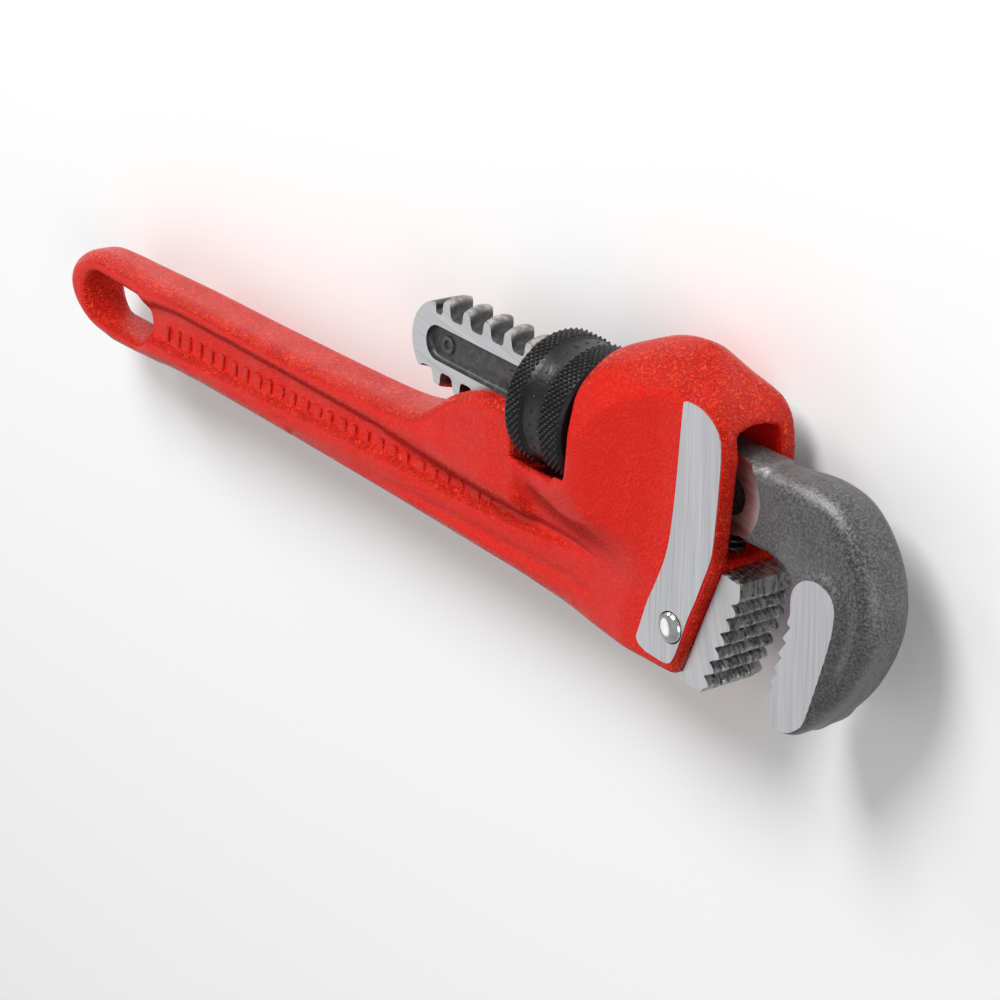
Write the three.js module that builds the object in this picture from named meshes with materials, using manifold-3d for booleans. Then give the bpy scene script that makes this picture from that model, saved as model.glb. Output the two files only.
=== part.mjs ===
// Straight pipe wrench, small size: cast handle with integral housing, forged hook jaw on a threaded
// shank, knurled adjusting nut, pinned heel jaw, and the two springs that float the shank.
// Millimetres. The model lies on its side: +X runs along the shank towards the jaws, +Y towards the
// back of the housing, and +Z is the thickness. Shapes are drawn about the shank axis, and the whole
// group is then lifted so that its origin is the bottom centre of its bounding box.

import * as THREE from 'three';
import { mergeVertices } from 'three/addons/utils/BufferGeometryUtils.js';
import { ParametricGeometry } from 'three/addons/geometries/ParametricGeometry.js';
import Module from 'manifold-3d';

const wasm = await Module();
wasm.setup();

// ---- driving dimensions ------------------------------------------------------------------------

// A coarse right-hand thread with two starts: pitch is from rib to rib, and the lead is twice that.
const THREAD = { starts: 2, pitch: 4.06, crest: 6.1, root: 4.35, crestWidth: 1.35, rootWidth: 2.1, phase: -27.05 };
const THREAD_CLEARANCE = { radial: 0.25, axial: 0.2 };
const THREAD_FRONT = 13;          // where the thread ends, ahead of the nut

const SHANK = { half: 2.25, rear: -33.2, front: 30, armTop: 5.0, armBottom: -4.2 };
const SHANK_RECESS = { rear: -30.2, front: 28.6, top: 2.15, bottom: -2.4, depth: 0.8 };

const NUT = { rear: -7.1, front: 3.25, radius: 8.5, grooveRear: -3.75, grooveFront: -1, grooveRadius: 8.1 };
const NUT_CHAMFER = 0.35;

const WINDOW = { rear: -7.9, front: 3.8, floor: -9.3 };   // the gap that holds the nut captive
const PASSAGE = { half: 3.2, floor: -7.6, ceiling: 8.0 }; // the way through the housing for the shank
const LUG = { groove: 3.0, grooveFloor: -6.8 };           // the fork behind the nut

const HANDLE = { rear: -116.4, half: 4.3, chamfer: 2 };
const HOUSING = { front: 28.2, cheek: 5.7, bulge: 7.9, rounding: 2.4 };
const FRONT_FACE = { top: -8.4, bottom: -23.2, bottomX: 23.3 }; // the slanted seat of the heel jaw
const HANG_SLOT = { rear: -110.6, front: -93.4, y: -19.1, radius: 3.5 };
const WEB = { rear: -89.5, front: 10, y: -16.3, half: 2.9, depth: 0.9 };

const JAW_HALF = 4.25;            // half width of both jaws
const TOOTH_COUNT = 6;
const TANG = { half: 2.4, rear: 18.4, top: -12.2, bottom: -21.2 };
const TANG_GAP = 0.15;
const PIN = { x: 22.4, y: -17.4, radius: 1.85, dome: 0.85 };
const PIN_GAP = 0.06;

const COIL = { x: 25.0, radius: 1.45, wire: 0.27, bottom: -9.3, top: -4.6, turns: 4.5 };
const COIL_POCKET = { radius: 2.1, floor: -9.7 };
const LEAF = { rear: 7, front: 22, low: 6.4, high: 6.85, thickness: 0.45, half: 1.9 };

// ---- helpers -----------------------------------------------------------------------------------

const TAU = 2 * Math.PI;
const FAR = 60;                   // longer than any cut has to be
const CURVE_SEGMENTS = 10;
const SPLINE_STEPS = 3;           // straight steps between two points of a spline
const TURN_SEGMENTS = 24;

// A closed three.js geometry as a solid that can be joined and cut.
function solidOf(geometry) {
  geometry.deleteAttribute('normal');
  geometry.deleteAttribute('uv');
  const merged = mergeVertices(geometry);
  const corners = merged.index.array;
  const triVerts = [];
  for (let i = 0; i < corners.length; i += 3) {
    const [a, b, c] = [corners[i], corners[i + 1], corners[i + 2]];
    if (a !== b && b !== c && c !== a) triVerts.push(a, b, c);
  }
  const vertProperties = new Float32Array(merged.attributes.position.array);
  return new wasm.Manifold(new wasm.Mesh({ numProp: 3, vertProperties, triVerts: new Uint32Array(triVerts) }));
}

// A shape drawn in X and Y, made a plate from one height to another, with chamfered rims.
function plate(shape, low, high, chamfer = 0) {
  const geometry = new THREE.ExtrudeGeometry(shape, {
    depth: high - low - 2 * chamfer,
    curveSegments: CURVE_SEGMENTS,
    bevelEnabled: chamfer > 0,
    bevelThickness: chamfer,
    bevelSize: chamfer,
    bevelOffset: -chamfer,
    bevelSegments: 2,
  });
  geometry.translate(0, 0, low + chamfer);
  return solidOf(geometry);
}

// A shape drawn in X and Z, extruded along Y.
function alongY(shape, low, high) {
  const geometry = new THREE.ExtrudeGeometry(shape, {
    depth: high - low,
    curveSegments: CURVE_SEGMENTS,
    bevelEnabled: false,
  });
  geometry.rotateX(Math.PI / 2);
  geometry.translate(0, high, 0);
  return solidOf(geometry);
}

// A shape drawn in Y and Z, extruded along X.
function alongX(shape, low, high) {
  const geometry = new THREE.ExtrudeGeometry(shape, {
    depth: high - low,
    curveSegments: CURVE_SEGMENTS,
    bevelEnabled: false,
  });
  geometry.rotateY(Math.PI / 2);
  geometry.rotateX(Math.PI / 2);
  geometry.translate(low, 0, 0);
  return solidOf(geometry);
}

function block(x0, x1, y0, y1, z0, z1) {
  const geometry = new THREE.BoxGeometry(x1 - x0, y1 - y0, z1 - z0);
  geometry.translate((x0 + x1) / 2, (y0 + y1) / 2, (z0 + z1) / 2);
  return solidOf(geometry);
}

function polygon(points) {
  return new THREE.Shape(points.map(([x, y]) => new THREE.Vector2(x, y)));
}

// A shape that follows each list of points in turn: two points are a straight side, more are a curve.
function outline(...runs) {
  const corners = [];
  for (const run of runs) {
    const points = run.map(([x, y]) => new THREE.Vector2(x, y));
    const steps = points.length === 2 ? 1 : SPLINE_STEPS * (points.length - 1);
    corners.push(...new THREE.SplineCurve(points).getPoints(steps).slice(0, -1));
  }
  return new THREE.Shape(corners);
}

// A slot with round ends, along X.
function stadium(x0, x1, y, radius) {
  const shape = new THREE.Shape();
  shape.absarc(x1 - radius, y, radius, -Math.PI / 2, Math.PI / 2);
  shape.absarc(x0 + radius, y, radius, Math.PI / 2, 1.5 * Math.PI);
  return shape;
}

// A body of revolution about an axis parallel to X, from [x, radius] points that start and end on it.
function turned(points, segments) {
  const profile = points.map(([x, radius]) => new THREE.Vector2(radius, x));
  const geometry = new THREE.LatheGeometry(profile, segments);
  geometry.rotateZ(-Math.PI / 2);
  return solidOf(geometry);
}

// A cylinder along Z or Y through a point.
function rod(axis, x, y, radius, low, high, segments = TURN_SEGMENTS) {
  const geometry = new THREE.CylinderGeometry(radius, radius, high - low, segments);
  if (axis === 'z') {
    geometry.rotateX(Math.PI / 2);
    geometry.translate(x, y, (low + high) / 2);
  } else {
    geometry.translate(x, (low + high) / 2, y);
  }
  return solidOf(geometry);
}

function finish(name, solid, { colour, metalness, roughness }) {
  const { vertProperties, triVerts } = solid.getMesh();
  const geometry = new THREE.BufferGeometry();
  geometry.setAttribute('position', new THREE.BufferAttribute(vertProperties, 3));
  geometry.setIndex(new THREE.BufferAttribute(triVerts, 1));
  geometry.computeVertexNormals();
  const material = new THREE.MeshStandardMaterial({ color: colour, metalness, roughness });
  const mesh = new THREE.Mesh(geometry, material);
  mesh.name = name;
  return mesh;
}

// ---- thread ------------------------------------------------------------------------------------

// One helical rib of trapezoid section about the X axis, which tapers to nothing at both ends.
// The nut's side of the thread has its section grown by a clearance.
function threadRib(x0, x1, phase, growRadius, growWidth) {
  const turns = (x1 - x0) / (THREAD.starts * THREAD.pitch);
  const stacks = Math.round(turns * TURN_SEGMENTS);
  const buried = THREAD.root - 1;
  const crest = THREAD.crest + growRadius;
  const slope = (THREAD.pitch - THREAD.rootWidth - THREAD.crestWidth) / 2 / (THREAD.crest - THREAD.root);
  const crestHalf = THREAD.crestWidth / 2 + growWidth - growRadius * slope;
  const baseHalf = crestHalf + slope * (crest - buried);
  const section = [[-baseHalf, buried], [-crestHalf, crest], [crestHalf, crest], [baseHalf, buried]];
  const start = ((x0 - phase) / (THREAD.starts * THREAD.pitch)) * TAU;
  const place = (u, v, target) => {
    const taper = Math.min(1, u * stacks, (1 - u) * stacks);
    const corner = Math.round(v * section.length) % section.length;
    const along = section[corner][0] * taper;
    const radius = buried + (section[corner][1] - buried) * taper;
    const angle = start + u * turns * TAU;
    const x = x0 + (x1 - x0) * u + along;
    target.set(x, radius * Math.cos(angle), radius * Math.sin(angle));
  };
  return solidOf(new ParametricGeometry(place, stacks, section.length));
}

// The whole thread: a core, and a rib for each start.
function thread(x0, x1, growRadius = 0, growWidth = 0) {
  const overrun = THREAD.pitch;
  const radius = THREAD.root + growRadius;
  let solid = turned([[x0, 0], [x0, radius], [x1, radius], [x1, 0]], TURN_SEGMENTS * 2);
  for (let i = 0; i < THREAD.starts; i++) {
    const phase = THREAD.phase + i * THREAD.pitch;
    solid = solid.add(threadRib(x0 - overrun, x1 + overrun, phase, growRadius, growWidth));
  }
  return solid;
}

// ---- handle and housing --------------------------------------------------------------------------

function handleBar() {
  const shape = outline(
    [[20, -23.6], [10, -23.4]],
    [[10, -23.4], [-15, -23.2], [-40, -23.1], [-80, -23.4], [-97, -25.0], [-104, -25.5]],
    [[-104, -25.5], [-110.3, -24.8], [-114.8, -22.2], [HANDLE.rear, -18.8], [-114.8, -15.3], [-110.3, -12.9],
      [-104, -12.4]],
    [[-104, -12.4], [-78, -12.1], [-55, -11.5], [-40, -10.9], [-30, -10.0], [-20, -9.8]],
    [[-20, -9.8], [20, -9.8]],
    [[20, -9.8], [20, -23.6]],
  );
  return plate(shape, -HANDLE.half, HANDLE.half, HANDLE.chamfer);
}

function lug() {
  const shape = outline(
    [[-34, -12], [-29.5, -9.9], [-24, -6.0], [-20, -3.4], [-15.5, -1.7], [-11, -1.5]],
    [[-11, -1.5], [WINDOW.rear, -1.6]],
    [[WINDOW.rear, -1.6], [WINDOW.rear, -14]],
    [[WINDOW.rear, -14], [-34, -14]],
    [[-34, -14], [-34, -12]],
  );
  const side = polygon([
    [-34, HANDLE.half - 0.4], [-24, 5.2], [-14, 5.9], [WINDOW.rear, 5.9],
    [WINDOW.rear, -5.9], [-14, -5.9], [-24, -5.2], [-34, 0.4 - HANDLE.half],
  ]);
  return plate(shape, -6.2, 6.2, 0.8).intersect(alongY(side, -FAR, FAR));
}

// The housing's outline is cut to a side taper and to a crown.
function housing() {
  const { front, cheek, bulge, rounding } = HOUSING;
  const seat = [front, FRONT_FACE.top];
  const seatEnd = [FRONT_FACE.bottomX, FRONT_FACE.bottom];
  const shape = outline(
    [[WINDOW.front, -14], [WINDOW.front, 4.5]],
    [[WINDOW.front, 4.5], [4.4, 8.2], [6.6, 11.1], [10.2, 13.2], [13.6, 14.9], [16, 15.4], [18.4, 15.0]],
    [[18.4, 15.0], [23.6, 12.9]],
    [[23.6, 12.9], [26.4, 11.2], [27.9, 8.8], [front, 5]],
    [[front, 5], seat],
    [seat, seatEnd],
    [seatEnd, [14, -23.6]],
    [[14, -23.6], [-4, -23.3]],
    [[-4, -23.3], [-4, -14]],
    [[-4, -14], [WINDOW.front, -14]],
  );
  const taper = polygon([
    [-4, 4.2], [2.2, 4.6], [2.2, bulge], [7, bulge - 0.3], [13, 6.7], [19.5, cheek], [front + 1, cheek],
    [front + 1, -cheek], [19.5, -cheek], [13, -6.7], [7, 0.3 - bulge], [2.2, -bulge], [2.2, -4.6], [-4, -4.2],
  ]);
  const crown = polygon([
    [-24, 3.6], [-23, 4.8], [-21.6, cheek], [-12, 5.9], [-9, 6.8], [-6, bulge - 0.2], [-1, bulge], [5, 7.0],
    [9.6, cheek], [12, 4.3], [14, 2.9], [15.5, 1.1], [15.5, -1.1], [14, -2.9], [12, -4.3], [9.6, -cheek],
    [5, -7.0], [-1, -bulge], [-6, 0.2 - bulge], [-9, -6.8], [-12, -5.9], [-21.6, -cheek], [-23, -4.8],
    [-24, -3.6],
  ]);
  const overhang = 0.9;
  const rounded = plate(shape, -cheek - overhang, cheek + overhang, rounding)
    .add(block(-FAR, 16, -FAR, FAR, -FAR, FAR));
  return plate(shape, -bulge, bulge)
    .intersect(rounded)
    .intersect(alongY(taper, -FAR, FAR))
    .intersect(alongX(crown, -FAR, FAR));
}

function handle() {
  const windowCut = polygon([
    [WINDOW.rear, FAR], [WINDOW.rear, WINDOW.floor + 0.8], [WINDOW.rear + 0.8, WINDOW.floor],
    [WINDOW.front - 0.8, WINDOW.floor], [WINDOW.front, WINDOW.floor + 0.8], [WINDOW.front, FAR],
  ]);
  const web = stadium(WEB.rear, WEB.front, WEB.y, WEB.half);
  const webTop = HANDLE.half - WEB.depth;
  const hang = stadium(HANG_SLOT.rear, HANG_SLOT.front, HANG_SLOT.y, HANG_SLOT.radius);
  const { half, floor, ceiling } = PASSAGE;
  const arch = new THREE.Shape();
  arch.moveTo(floor, -half);
  arch.lineTo(ceiling - 1.6, -half);
  arch.quadraticCurveTo(ceiling, -half, ceiling, -half + 1.6);
  arch.lineTo(ceiling, half - 1.6);
  arch.quadraticCurveTo(ceiling, half, ceiling - 1.6, half);
  arch.lineTo(floor, half);
  return handleBar()
    .add(lug())
    .add(housing())
    .subtract(plate(windowCut, -FAR, FAR))
    .subtract(block(-FAR, WINDOW.front, LUG.grooveFloor, FAR, -LUG.groove, LUG.groove))
    .subtract(alongX(arch, WINDOW.front - 1, FAR))
    .subtract(tangSolid(TANG_GAP))
    .subtract(plate(hang, -FAR, FAR))
    .subtract(plate(web, webTop, FAR))
    .subtract(plate(web, -FAR, -webTop))
    .subtract(rod('z', PIN.x, PIN.y, PIN.radius + PIN_GAP, -FAR, FAR))
    .subtract(rod('y', COIL.x, 0, COIL_POCKET.radius, COIL_POCKET.floor, 0));
}

// ---- heel jaw ------------------------------------------------------------------------------------

// The tang that sits in the housing; the housing's pocket is the same shape, grown by a gap.
function tangSolid(gap) {
  const { half, rear, top, bottom } = TANG;
  return block(rear - gap, HOUSING.front + (gap ? 1 : 0.5), bottom - gap, top + gap, -half - gap, half + gap);
}

function heelJaw() {
  const gap = 0.05;
  const back = [[HOUSING.front + gap, FRONT_FACE.top], [FRONT_FACE.bottomX + gap, FRONT_FACE.bottom - 0.9]];
  const firstValley = new THREE.Vector2(30.35, -11.5);
  const pitch = new THREE.Vector2(-0.61, -2.07);
  const tip = new THREE.Vector2(0.75, -1.1);
  const points = [back[0], [31.35, -8.6], [31.5, -10.8]];
  for (let i = 0; i < TOOTH_COUNT; i++) {
    const valley = firstValley.clone().addScaledVector(pitch, i);
    points.push([valley.x, valley.y], [valley.x + tip.x, valley.y + tip.y]);
  }
  points.push([27.0, -24.1], back[1]);
  return plate(polygon(points.reverse()), -JAW_HALF, JAW_HALF)
    .add(tangSolid(0))
    .subtract(rod('z', PIN.x, PIN.y, PIN.radius + PIN_GAP, -FAR, FAR));
}

// A plain pin with domed ends that stand proud of the ground cheeks.
function heelJawPin() {
  const flatEnd = HOUSING.cheek - 0.1;
  const dome = [0, 0.35, 0.7, 1].map((t) => [flatEnd + PIN.dome * Math.cos(t * Math.PI / 2),
    PIN.radius * Math.sin(t * Math.PI / 2)]);
  const profile = [...dome.map(([z, r]) => [-z, r]), ...dome.reverse()];
  const points = profile.map(([z, r]) => new THREE.Vector2(r, z));
  const geometry = new THREE.LatheGeometry(points, TURN_SEGMENTS);
  geometry.rotateX(Math.PI / 2);
  geometry.translate(PIN.x, PIN.y, 0);
  return solidOf(geometry);
}

// ---- hook jaw ------------------------------------------------------------------------------------

function shank() {
  const { half, rear, front, armTop, armBottom } = SHANK;
  const endRadius = 5.4;
  const rounded = new THREE.Shape();
  rounded.absarc(rear + endRadius, -0.2, endRadius, Math.PI / 2, 1.5 * Math.PI);
  rounded.lineTo(rear + 2 * endRadius, -FAR);
  rounded.lineTo(FAR, -FAR);
  rounded.lineTo(FAR, FAR);
  rounded.lineTo(rear + 2 * endRadius, FAR);
  const tip = turned([[rear, 0], [rear, 5.2], [rear + 3, 5.9], [rear + 6.4, 5.9], [rear + 6.4, 0]], 48);
  const threaded = thread(rear, THREAD_FRONT)
    .add(tip.intersect(plate(rounded, -FAR, FAR)))
    .intersect(block(rear, THREAD_FRONT, -FAR, FAR, -half, half));
  const arm = block(THREAD_FRONT - 2, front, armBottom, THREAD.root, -half, half)
    .add(plate(polygon([[THREAD_FRONT - 2, THREAD.root - 1], [front, armBottom], [front, armTop],
      [THREAD_FRONT + 4, armTop], [THREAD_FRONT - 1, THREAD.root]]), -half, half));
  const end = block(rear - 1, rear + endRadius, -FAR, FAR, -FAR, FAR).subtract(plate(rounded, -FAR, FAR));
  return threaded.subtract(end).add(arm);
}

function hookHead() {
  const firstTip = new THREE.Vector2(38.95, -10.1);
  const pitch = new THREE.Vector2(-0.35, -1.98);
  const valley = new THREE.Vector2(0.62, 0.35);
  const teeth = [];
  for (let i = 0; i < TOOTH_COUNT + 1; i++) {
    const tip = firstTip.clone().addScaledVector(pitch, i);
    teeth.push([tip.x, tip.y]);
    if (i < TOOTH_COUNT) teeth.push([tip.x + valley.x, tip.y - valley.y]);
  }
  const lastTip = teeth.at(-1);
  const shape = outline(
    [[SHANK.front - 1.5, SHANK.armTop], [34, 5.5], [39, 5.9], [43.4, 5.1], [47.2, 2.3], [49.8, -1.8], [50.8, -6.2],
      [50.2, -11], [48, -16.2], [45, -20.2], [42.6, -22.6]],
    [[42.6, -22.6], [41.2, -23.6], [39.4, -23.9], [37.6, -23.6], lastTip],
    ...teeth.slice(1).map((_, i) => [teeth.at(-1 - i), teeth.at(-2 - i)]),
    [teeth[0], [39.3, -9.0], [38.7, -6.8], [37.3, -4.7], [34.5, -4.0], [31.5, -4.15]],
    [[31.5, -4.15], [SHANK.front - 1.5, SHANK.armBottom]],
    [[SHANK.front - 1.5, SHANK.armBottom], [SHANK.front - 1.5, SHANK.armTop]],
  );
  const thickness = polygon([
    [28, 2.7], [29.5, 3.0], [32.6, 3.05], [35, 3.7], [37.5, JAW_HALF], [48, JAW_HALF], [51.5, 3.2],
    [51.5, -3.2], [48, -JAW_HALF], [37.5, -JAW_HALF], [35, -3.7], [32.6, -3.05], [29.5, -3.0], [28, -2.7],
  ]);
  const trim = outline(
    [[20, 20], [20, -24.6]],
    [[20, -24.6], [36, -24.6]],
    [[36, -24.6], [40, -24.4], [44, -23], [47.5, -19], [50.5, -12], [51, -6], [49.8, -1], [46.8, 3.2], [42.5, 5.8]],
    [[42.5, 5.8], [30, 6.2]],
    [[30, 6.2], [28, 20]],
    [[28, 20], [20, 20]],
  );
  const full = plate(shape, -JAW_HALF, JAW_HALF).intersect(alongY(thickness, -FAR, FAR));
  return full.intersect(plate(trim, -JAW_HALF - 0.35, JAW_HALF + 0.35, 3));
}

// The flat side of the shank runs on into the head, up to a round edge.
function sideMill(side) {
  const shape = stadium(0, 31.6, 0.1, 5.6);
  const depth = [SHANK.half, FAR];
  return side > 0 ? plate(shape, depth[0], depth[1]) : plate(shape, -depth[1], -depth[0]);
}

function shankRecess(side) {
  const { rear, front, top, bottom, depth } = SHANK_RECESS;
  const shape = stadium(rear, front, (top + bottom) / 2, (top - bottom) / 2);
  const floor = SHANK.half - depth;
  return side > 0 ? plate(shape, floor, FAR) : plate(shape, -FAR, -floor);
}

function hookJaw() {
  return shank()
    .add(hookHead().subtract(sideMill(1)).subtract(sideMill(-1)))
    .subtract(shankRecess(1))
    .subtract(shankRecess(-1));
}

// ---- adjusting nut -------------------------------------------------------------------------------

function adjustingNut() {
  const { rear, front, radius, grooveRear, grooveFront, grooveRadius } = NUT;
  const body = turned([
    [rear, 0], [rear, radius - NUT_CHAMFER], [rear + NUT_CHAMFER, radius], [grooveRear - 0.3, radius],
    [grooveRear, grooveRadius], [grooveFront, grooveRadius], [grooveFront + 0.3, radius],
    [front - NUT_CHAMFER, radius], [front, radius - NUT_CHAMFER], [front, 0],
  ], 48);
  const { radial, axial } = THREAD_CLEARANCE;
  return body.subtract(thread(rear - 1, front + 1, radial, axial));
}

// ---- springs -------------------------------------------------------------------------------------

class Helix extends THREE.Curve {
  constructor(radius, low, high, turns) {
    super();
    Object.assign(this, { radius, low, high, turns });
  }

  getPoint(t, target = new THREE.Vector3()) {
    const angle = t * this.turns * TAU;
    const y = this.low + (this.high - this.low) * t;
    return target.set(this.radius * Math.cos(angle), y, this.radius * Math.sin(angle));
  }
}

function coilSpring() {
  const { x, radius, wire, bottom, top, turns } = COIL;
  const section = new THREE.Shape();
  section.absarc(0, 0, wire, 0, TAU);
  const geometry = new THREE.ExtrudeGeometry(section, {
    steps: Math.round(turns * 14),
    curveSegments: 3,
    extrudePath: new Helix(radius, bottom + wire, top - wire, turns),
  });
  geometry.translate(x, 0, 0);
  return solidOf(geometry);
}

// A bowed strip between the shank and the ceiling of the housing.
function flatSpring() {
  const { rear, front, low, high, thickness, half } = LEAF;
  const middle = (rear + front) / 2;
  const shape = outline(
    [[rear, high], [middle - 3.5, low + 0.15], [middle, low], [middle + 3.5, low + 0.15], [front, high]],
    [[front, high], [front, high + thickness]],
    [[front, high + thickness], [middle + 3.5, low + 0.15 + thickness], [middle, low + thickness],
      [middle - 3.5, low + 0.15 + thickness], [rear, high + thickness]],
    [[rear, high + thickness], [rear, high]],
  );
  return plate(shape, -half, half);
}

// ---- assembly ------------------------------------------------------------------------------------

const PAINT = { colour: 0xe0261f, metalness: 0, roughness: 0.35 };
const GROUND_STEEL = { colour: 0xb9babb, metalness: 1, roughness: 0.4 };
const FORGED_STEEL = { colour: 0x6a6764, metalness: 1, roughness: 0.5 };
const BLACK_OXIDE = { colour: 0x26272a, metalness: 0.7, roughness: 0.5 };
const BRIGHT_STEEL = { colour: 0xd8d8d8, metalness: 1, roughness: 0.15 };
const SPRING_STEEL = { colour: 0x1c1c1e, metalness: 0.8, roughness: 0.4 };

const wrench = new THREE.Group();
wrench.add(
  finish('handle', handle(), PAINT),
  finish('heel_jaw', heelJaw(), GROUND_STEEL),
  finish('heel_jaw_pin', heelJawPin(), BRIGHT_STEEL),
  finish('hook_jaw', hookJaw(), FORGED_STEEL),
  finish('adjusting_nut', adjustingNut(), BLACK_OXIDE),
  finish('coil_spring', coilSpring(), SPRING_STEEL),
  finish('flat_spring', flatSpring(), SPRING_STEEL),
);

const bounds = new THREE.Box3().setFromObject(wrench);
const centre = bounds.getCenter(new THREE.Vector3());
wrench.position.set(-centre.x, -centre.y, -bounds.min.z);

export default wrench;
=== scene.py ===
"""A small straight pipe wrench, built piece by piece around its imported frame.

Shapes are drawn in millimetres about the shank's axis: X runs towards the jaws, Y towards the back of the
housing and Z is the thickness. They are placed in the frame, in metres, as each mesh is made.
"""

import functools
import itertools
import math

import bmesh
import bpy
import numpy as np
from mathutils import Matrix, Vector


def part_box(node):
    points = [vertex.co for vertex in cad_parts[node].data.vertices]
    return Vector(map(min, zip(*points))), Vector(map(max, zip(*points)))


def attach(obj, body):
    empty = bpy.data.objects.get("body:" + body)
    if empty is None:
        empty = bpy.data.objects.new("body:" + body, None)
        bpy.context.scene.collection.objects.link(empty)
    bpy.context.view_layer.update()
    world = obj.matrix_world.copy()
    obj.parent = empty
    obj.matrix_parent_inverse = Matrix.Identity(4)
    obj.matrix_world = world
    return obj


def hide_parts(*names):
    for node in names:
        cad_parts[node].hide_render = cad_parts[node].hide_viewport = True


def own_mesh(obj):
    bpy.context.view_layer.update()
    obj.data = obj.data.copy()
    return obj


bl_info = {
    "name": "Pipe wrench",
    "version": (1, 0, 0),
    "blender": (4, 5, 0),
    "location": "View3D > Sidebar > Wrench",
    "description": "Builds a pipe wrench around its packed frame",
    "category": "Add Mesh",
}

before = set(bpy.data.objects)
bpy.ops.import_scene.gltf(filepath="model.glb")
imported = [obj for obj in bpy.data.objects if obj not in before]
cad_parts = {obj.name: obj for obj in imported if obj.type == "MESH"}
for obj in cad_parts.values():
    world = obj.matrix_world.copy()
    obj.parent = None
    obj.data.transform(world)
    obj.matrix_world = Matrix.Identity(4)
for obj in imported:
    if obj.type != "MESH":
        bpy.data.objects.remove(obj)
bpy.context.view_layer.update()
NUT_LOW, NUT_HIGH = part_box("adjusting_nut")

MM = 0.001
NUT_FRONT = 3.25  # from the point that shapes are drawn about to the nut's front face
ORIGIN = Vector((NUT_HIGH.x - NUT_FRONT * MM, (NUT_LOW.y + NUT_HIGH.y) / 2, (NUT_LOW.z + NUT_HIGH.z) / 2))
NUT_REAR = NUT_FRONT - (NUT_HIGH.x - NUT_LOW.x) / MM
NUT_RADIUS = (NUT_HIGH.y - NUT_LOW.y) / 2 / MM


# ---- sizes and colours that can be changed -------------------------------------------------------


def length(label, description, millimetres):
    """A length, given in millimetres and kept in metres."""
    return bpy.props.FloatProperty(name=label, description=description, default=millimetres * MM, min=0.0,
                                   precision=5, unit="LENGTH")


def number(label, description, default):
    """A whole number, at least one."""
    return bpy.props.IntProperty(name=label, description=description, default=default, min=1)


def power(label, description, watts):
    """The power of a light, in watts."""
    return bpy.props.FloatProperty(name=label, description=description, default=watts, min=0.0, unit="POWER")


def colour(label, description, *shade):
    """A colour in linear light."""
    return bpy.props.FloatVectorProperty(name=label, description=description, default=shade, min=0.0, max=1.0,
                                         size=3, subtype="COLOR")


class WrenchFinishes(bpy.types.PropertyGroup):
    """Colours of the wrench's finishes."""

    paint: colour("Enamel", "Colour of the enamel on the casting", 0.70, 0.006, 0.005)
    ground: colour("Ground steel", "Colour of the surfaces left bare by grinding", 0.60, 0.605, 0.62)
    forged: colour("Forged steel", "Colour of the blasted forging", 0.14, 0.138, 0.139)
    thread: colour("Cut thread", "Colour of the crests of the shank's thread", 0.52, 0.51, 0.49)
    oxide: colour("Black oxide", "Colour of the adjusting nut", 0.014, 0.014, 0.016)
    pin: colour("Pin", "Colour of the polished pin heads", 0.80, 0.80, 0.81)
    spring: colour("Springs", "Colour of the tempered springs", 0.035, 0.035, 0.038)


class WrenchCasting(bpy.types.PropertyGroup):
    """Sizes of the handle and its housing."""

    cheek_half: length("Cheek flats", "From the middle plane to the ground flats of the housing", 5.68)
    bar_half: length("Bar", "From the middle plane to the rims of the bar", 4.3)
    channel: length("Channel", "Depth of the channel along each side of the bar", 1.0)
    groove: length("Groove", "Depth of the small groove below the channel", 0.28)
    slot_radius: length("Hang slot", "Radius of the hang slot's ends", 3.5)
    detail: length("Detail", "Step of the grid that the casting is drawn on", 0.4)


class WrenchMarks(bpy.types.PropertyGroup):
    """Sizes of the plain cast marks in the handle's channel."""

    count: number("Marks", "Marks along each side", 33)
    step: length("Spacing", "From one mark to the next", 2.85)
    height: length("Height", "Height of a mark across the channel", 2.4)
    rise: length("Relief", "How far a mark stands out of the channel", 0.3)
    seed: number("Seed", "Changes which marks are wide", 11)


class WrenchHook(bpy.types.PropertyGroup):
    """Sizes of the hook jaw and its threaded shank."""

    pitch: length("Pitch", "From one crest of the two-start thread to the next", 4.06)
    crest: length("Crest", "Radius of the thread's crests", 6.05)
    root: length("Root", "Radius between the crests", 4.3)
    shank_half: length("Shank", "From the middle plane to the ground sides of the shank", 2.25)
    recess: length("Recess", "Depth of the long recess in each side of the shank", 0.85)
    head_half: length("Head", "From the middle plane to the side of the head", 3.6)
    face_half: length("Working face", "From the middle plane to the ground face beside the teeth", 4.22)
    teeth: number("Teeth", "Teeth on the hook jaw", 6)
    detail: length("Detail", "Step of the grid that the forging is drawn on", 0.27)


class WrenchNut(bpy.types.PropertyGroup):
    """Sizes of the adjusting nut."""

    radius: length("Radius", "Outer radius of the knurl", NUT_RADIUS)
    knurl: length("Knurl", "Height of the knurl's points", 0.28)
    around: number("Points around", "Points in each row of the knurl", 60)
    row: length("Row spacing", "From one row of points to the next", 0.42)
    dots: number("Dots", "Small dots stamped round the plain groove", 30)
    dot: length("Dot", "Radius of a stamped dot", 0.24)


class WrenchHeel(bpy.types.PropertyGroup):
    """Sizes of the heel jaw and its pin."""

    half: length("Width", "From the middle plane to each side of the jaw", 4.25)
    teeth: number("Teeth", "Teeth on the heel jaw", 6)
    roughness: length("Milling marks", "Size of the marks left across the teeth", 0.045)
    pin_radius: length("Pin", "Radius of the pin", 1.85)
    pin_dome: length("Pin head", "How far the pin's rounded heads stand out", 0.85)


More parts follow.
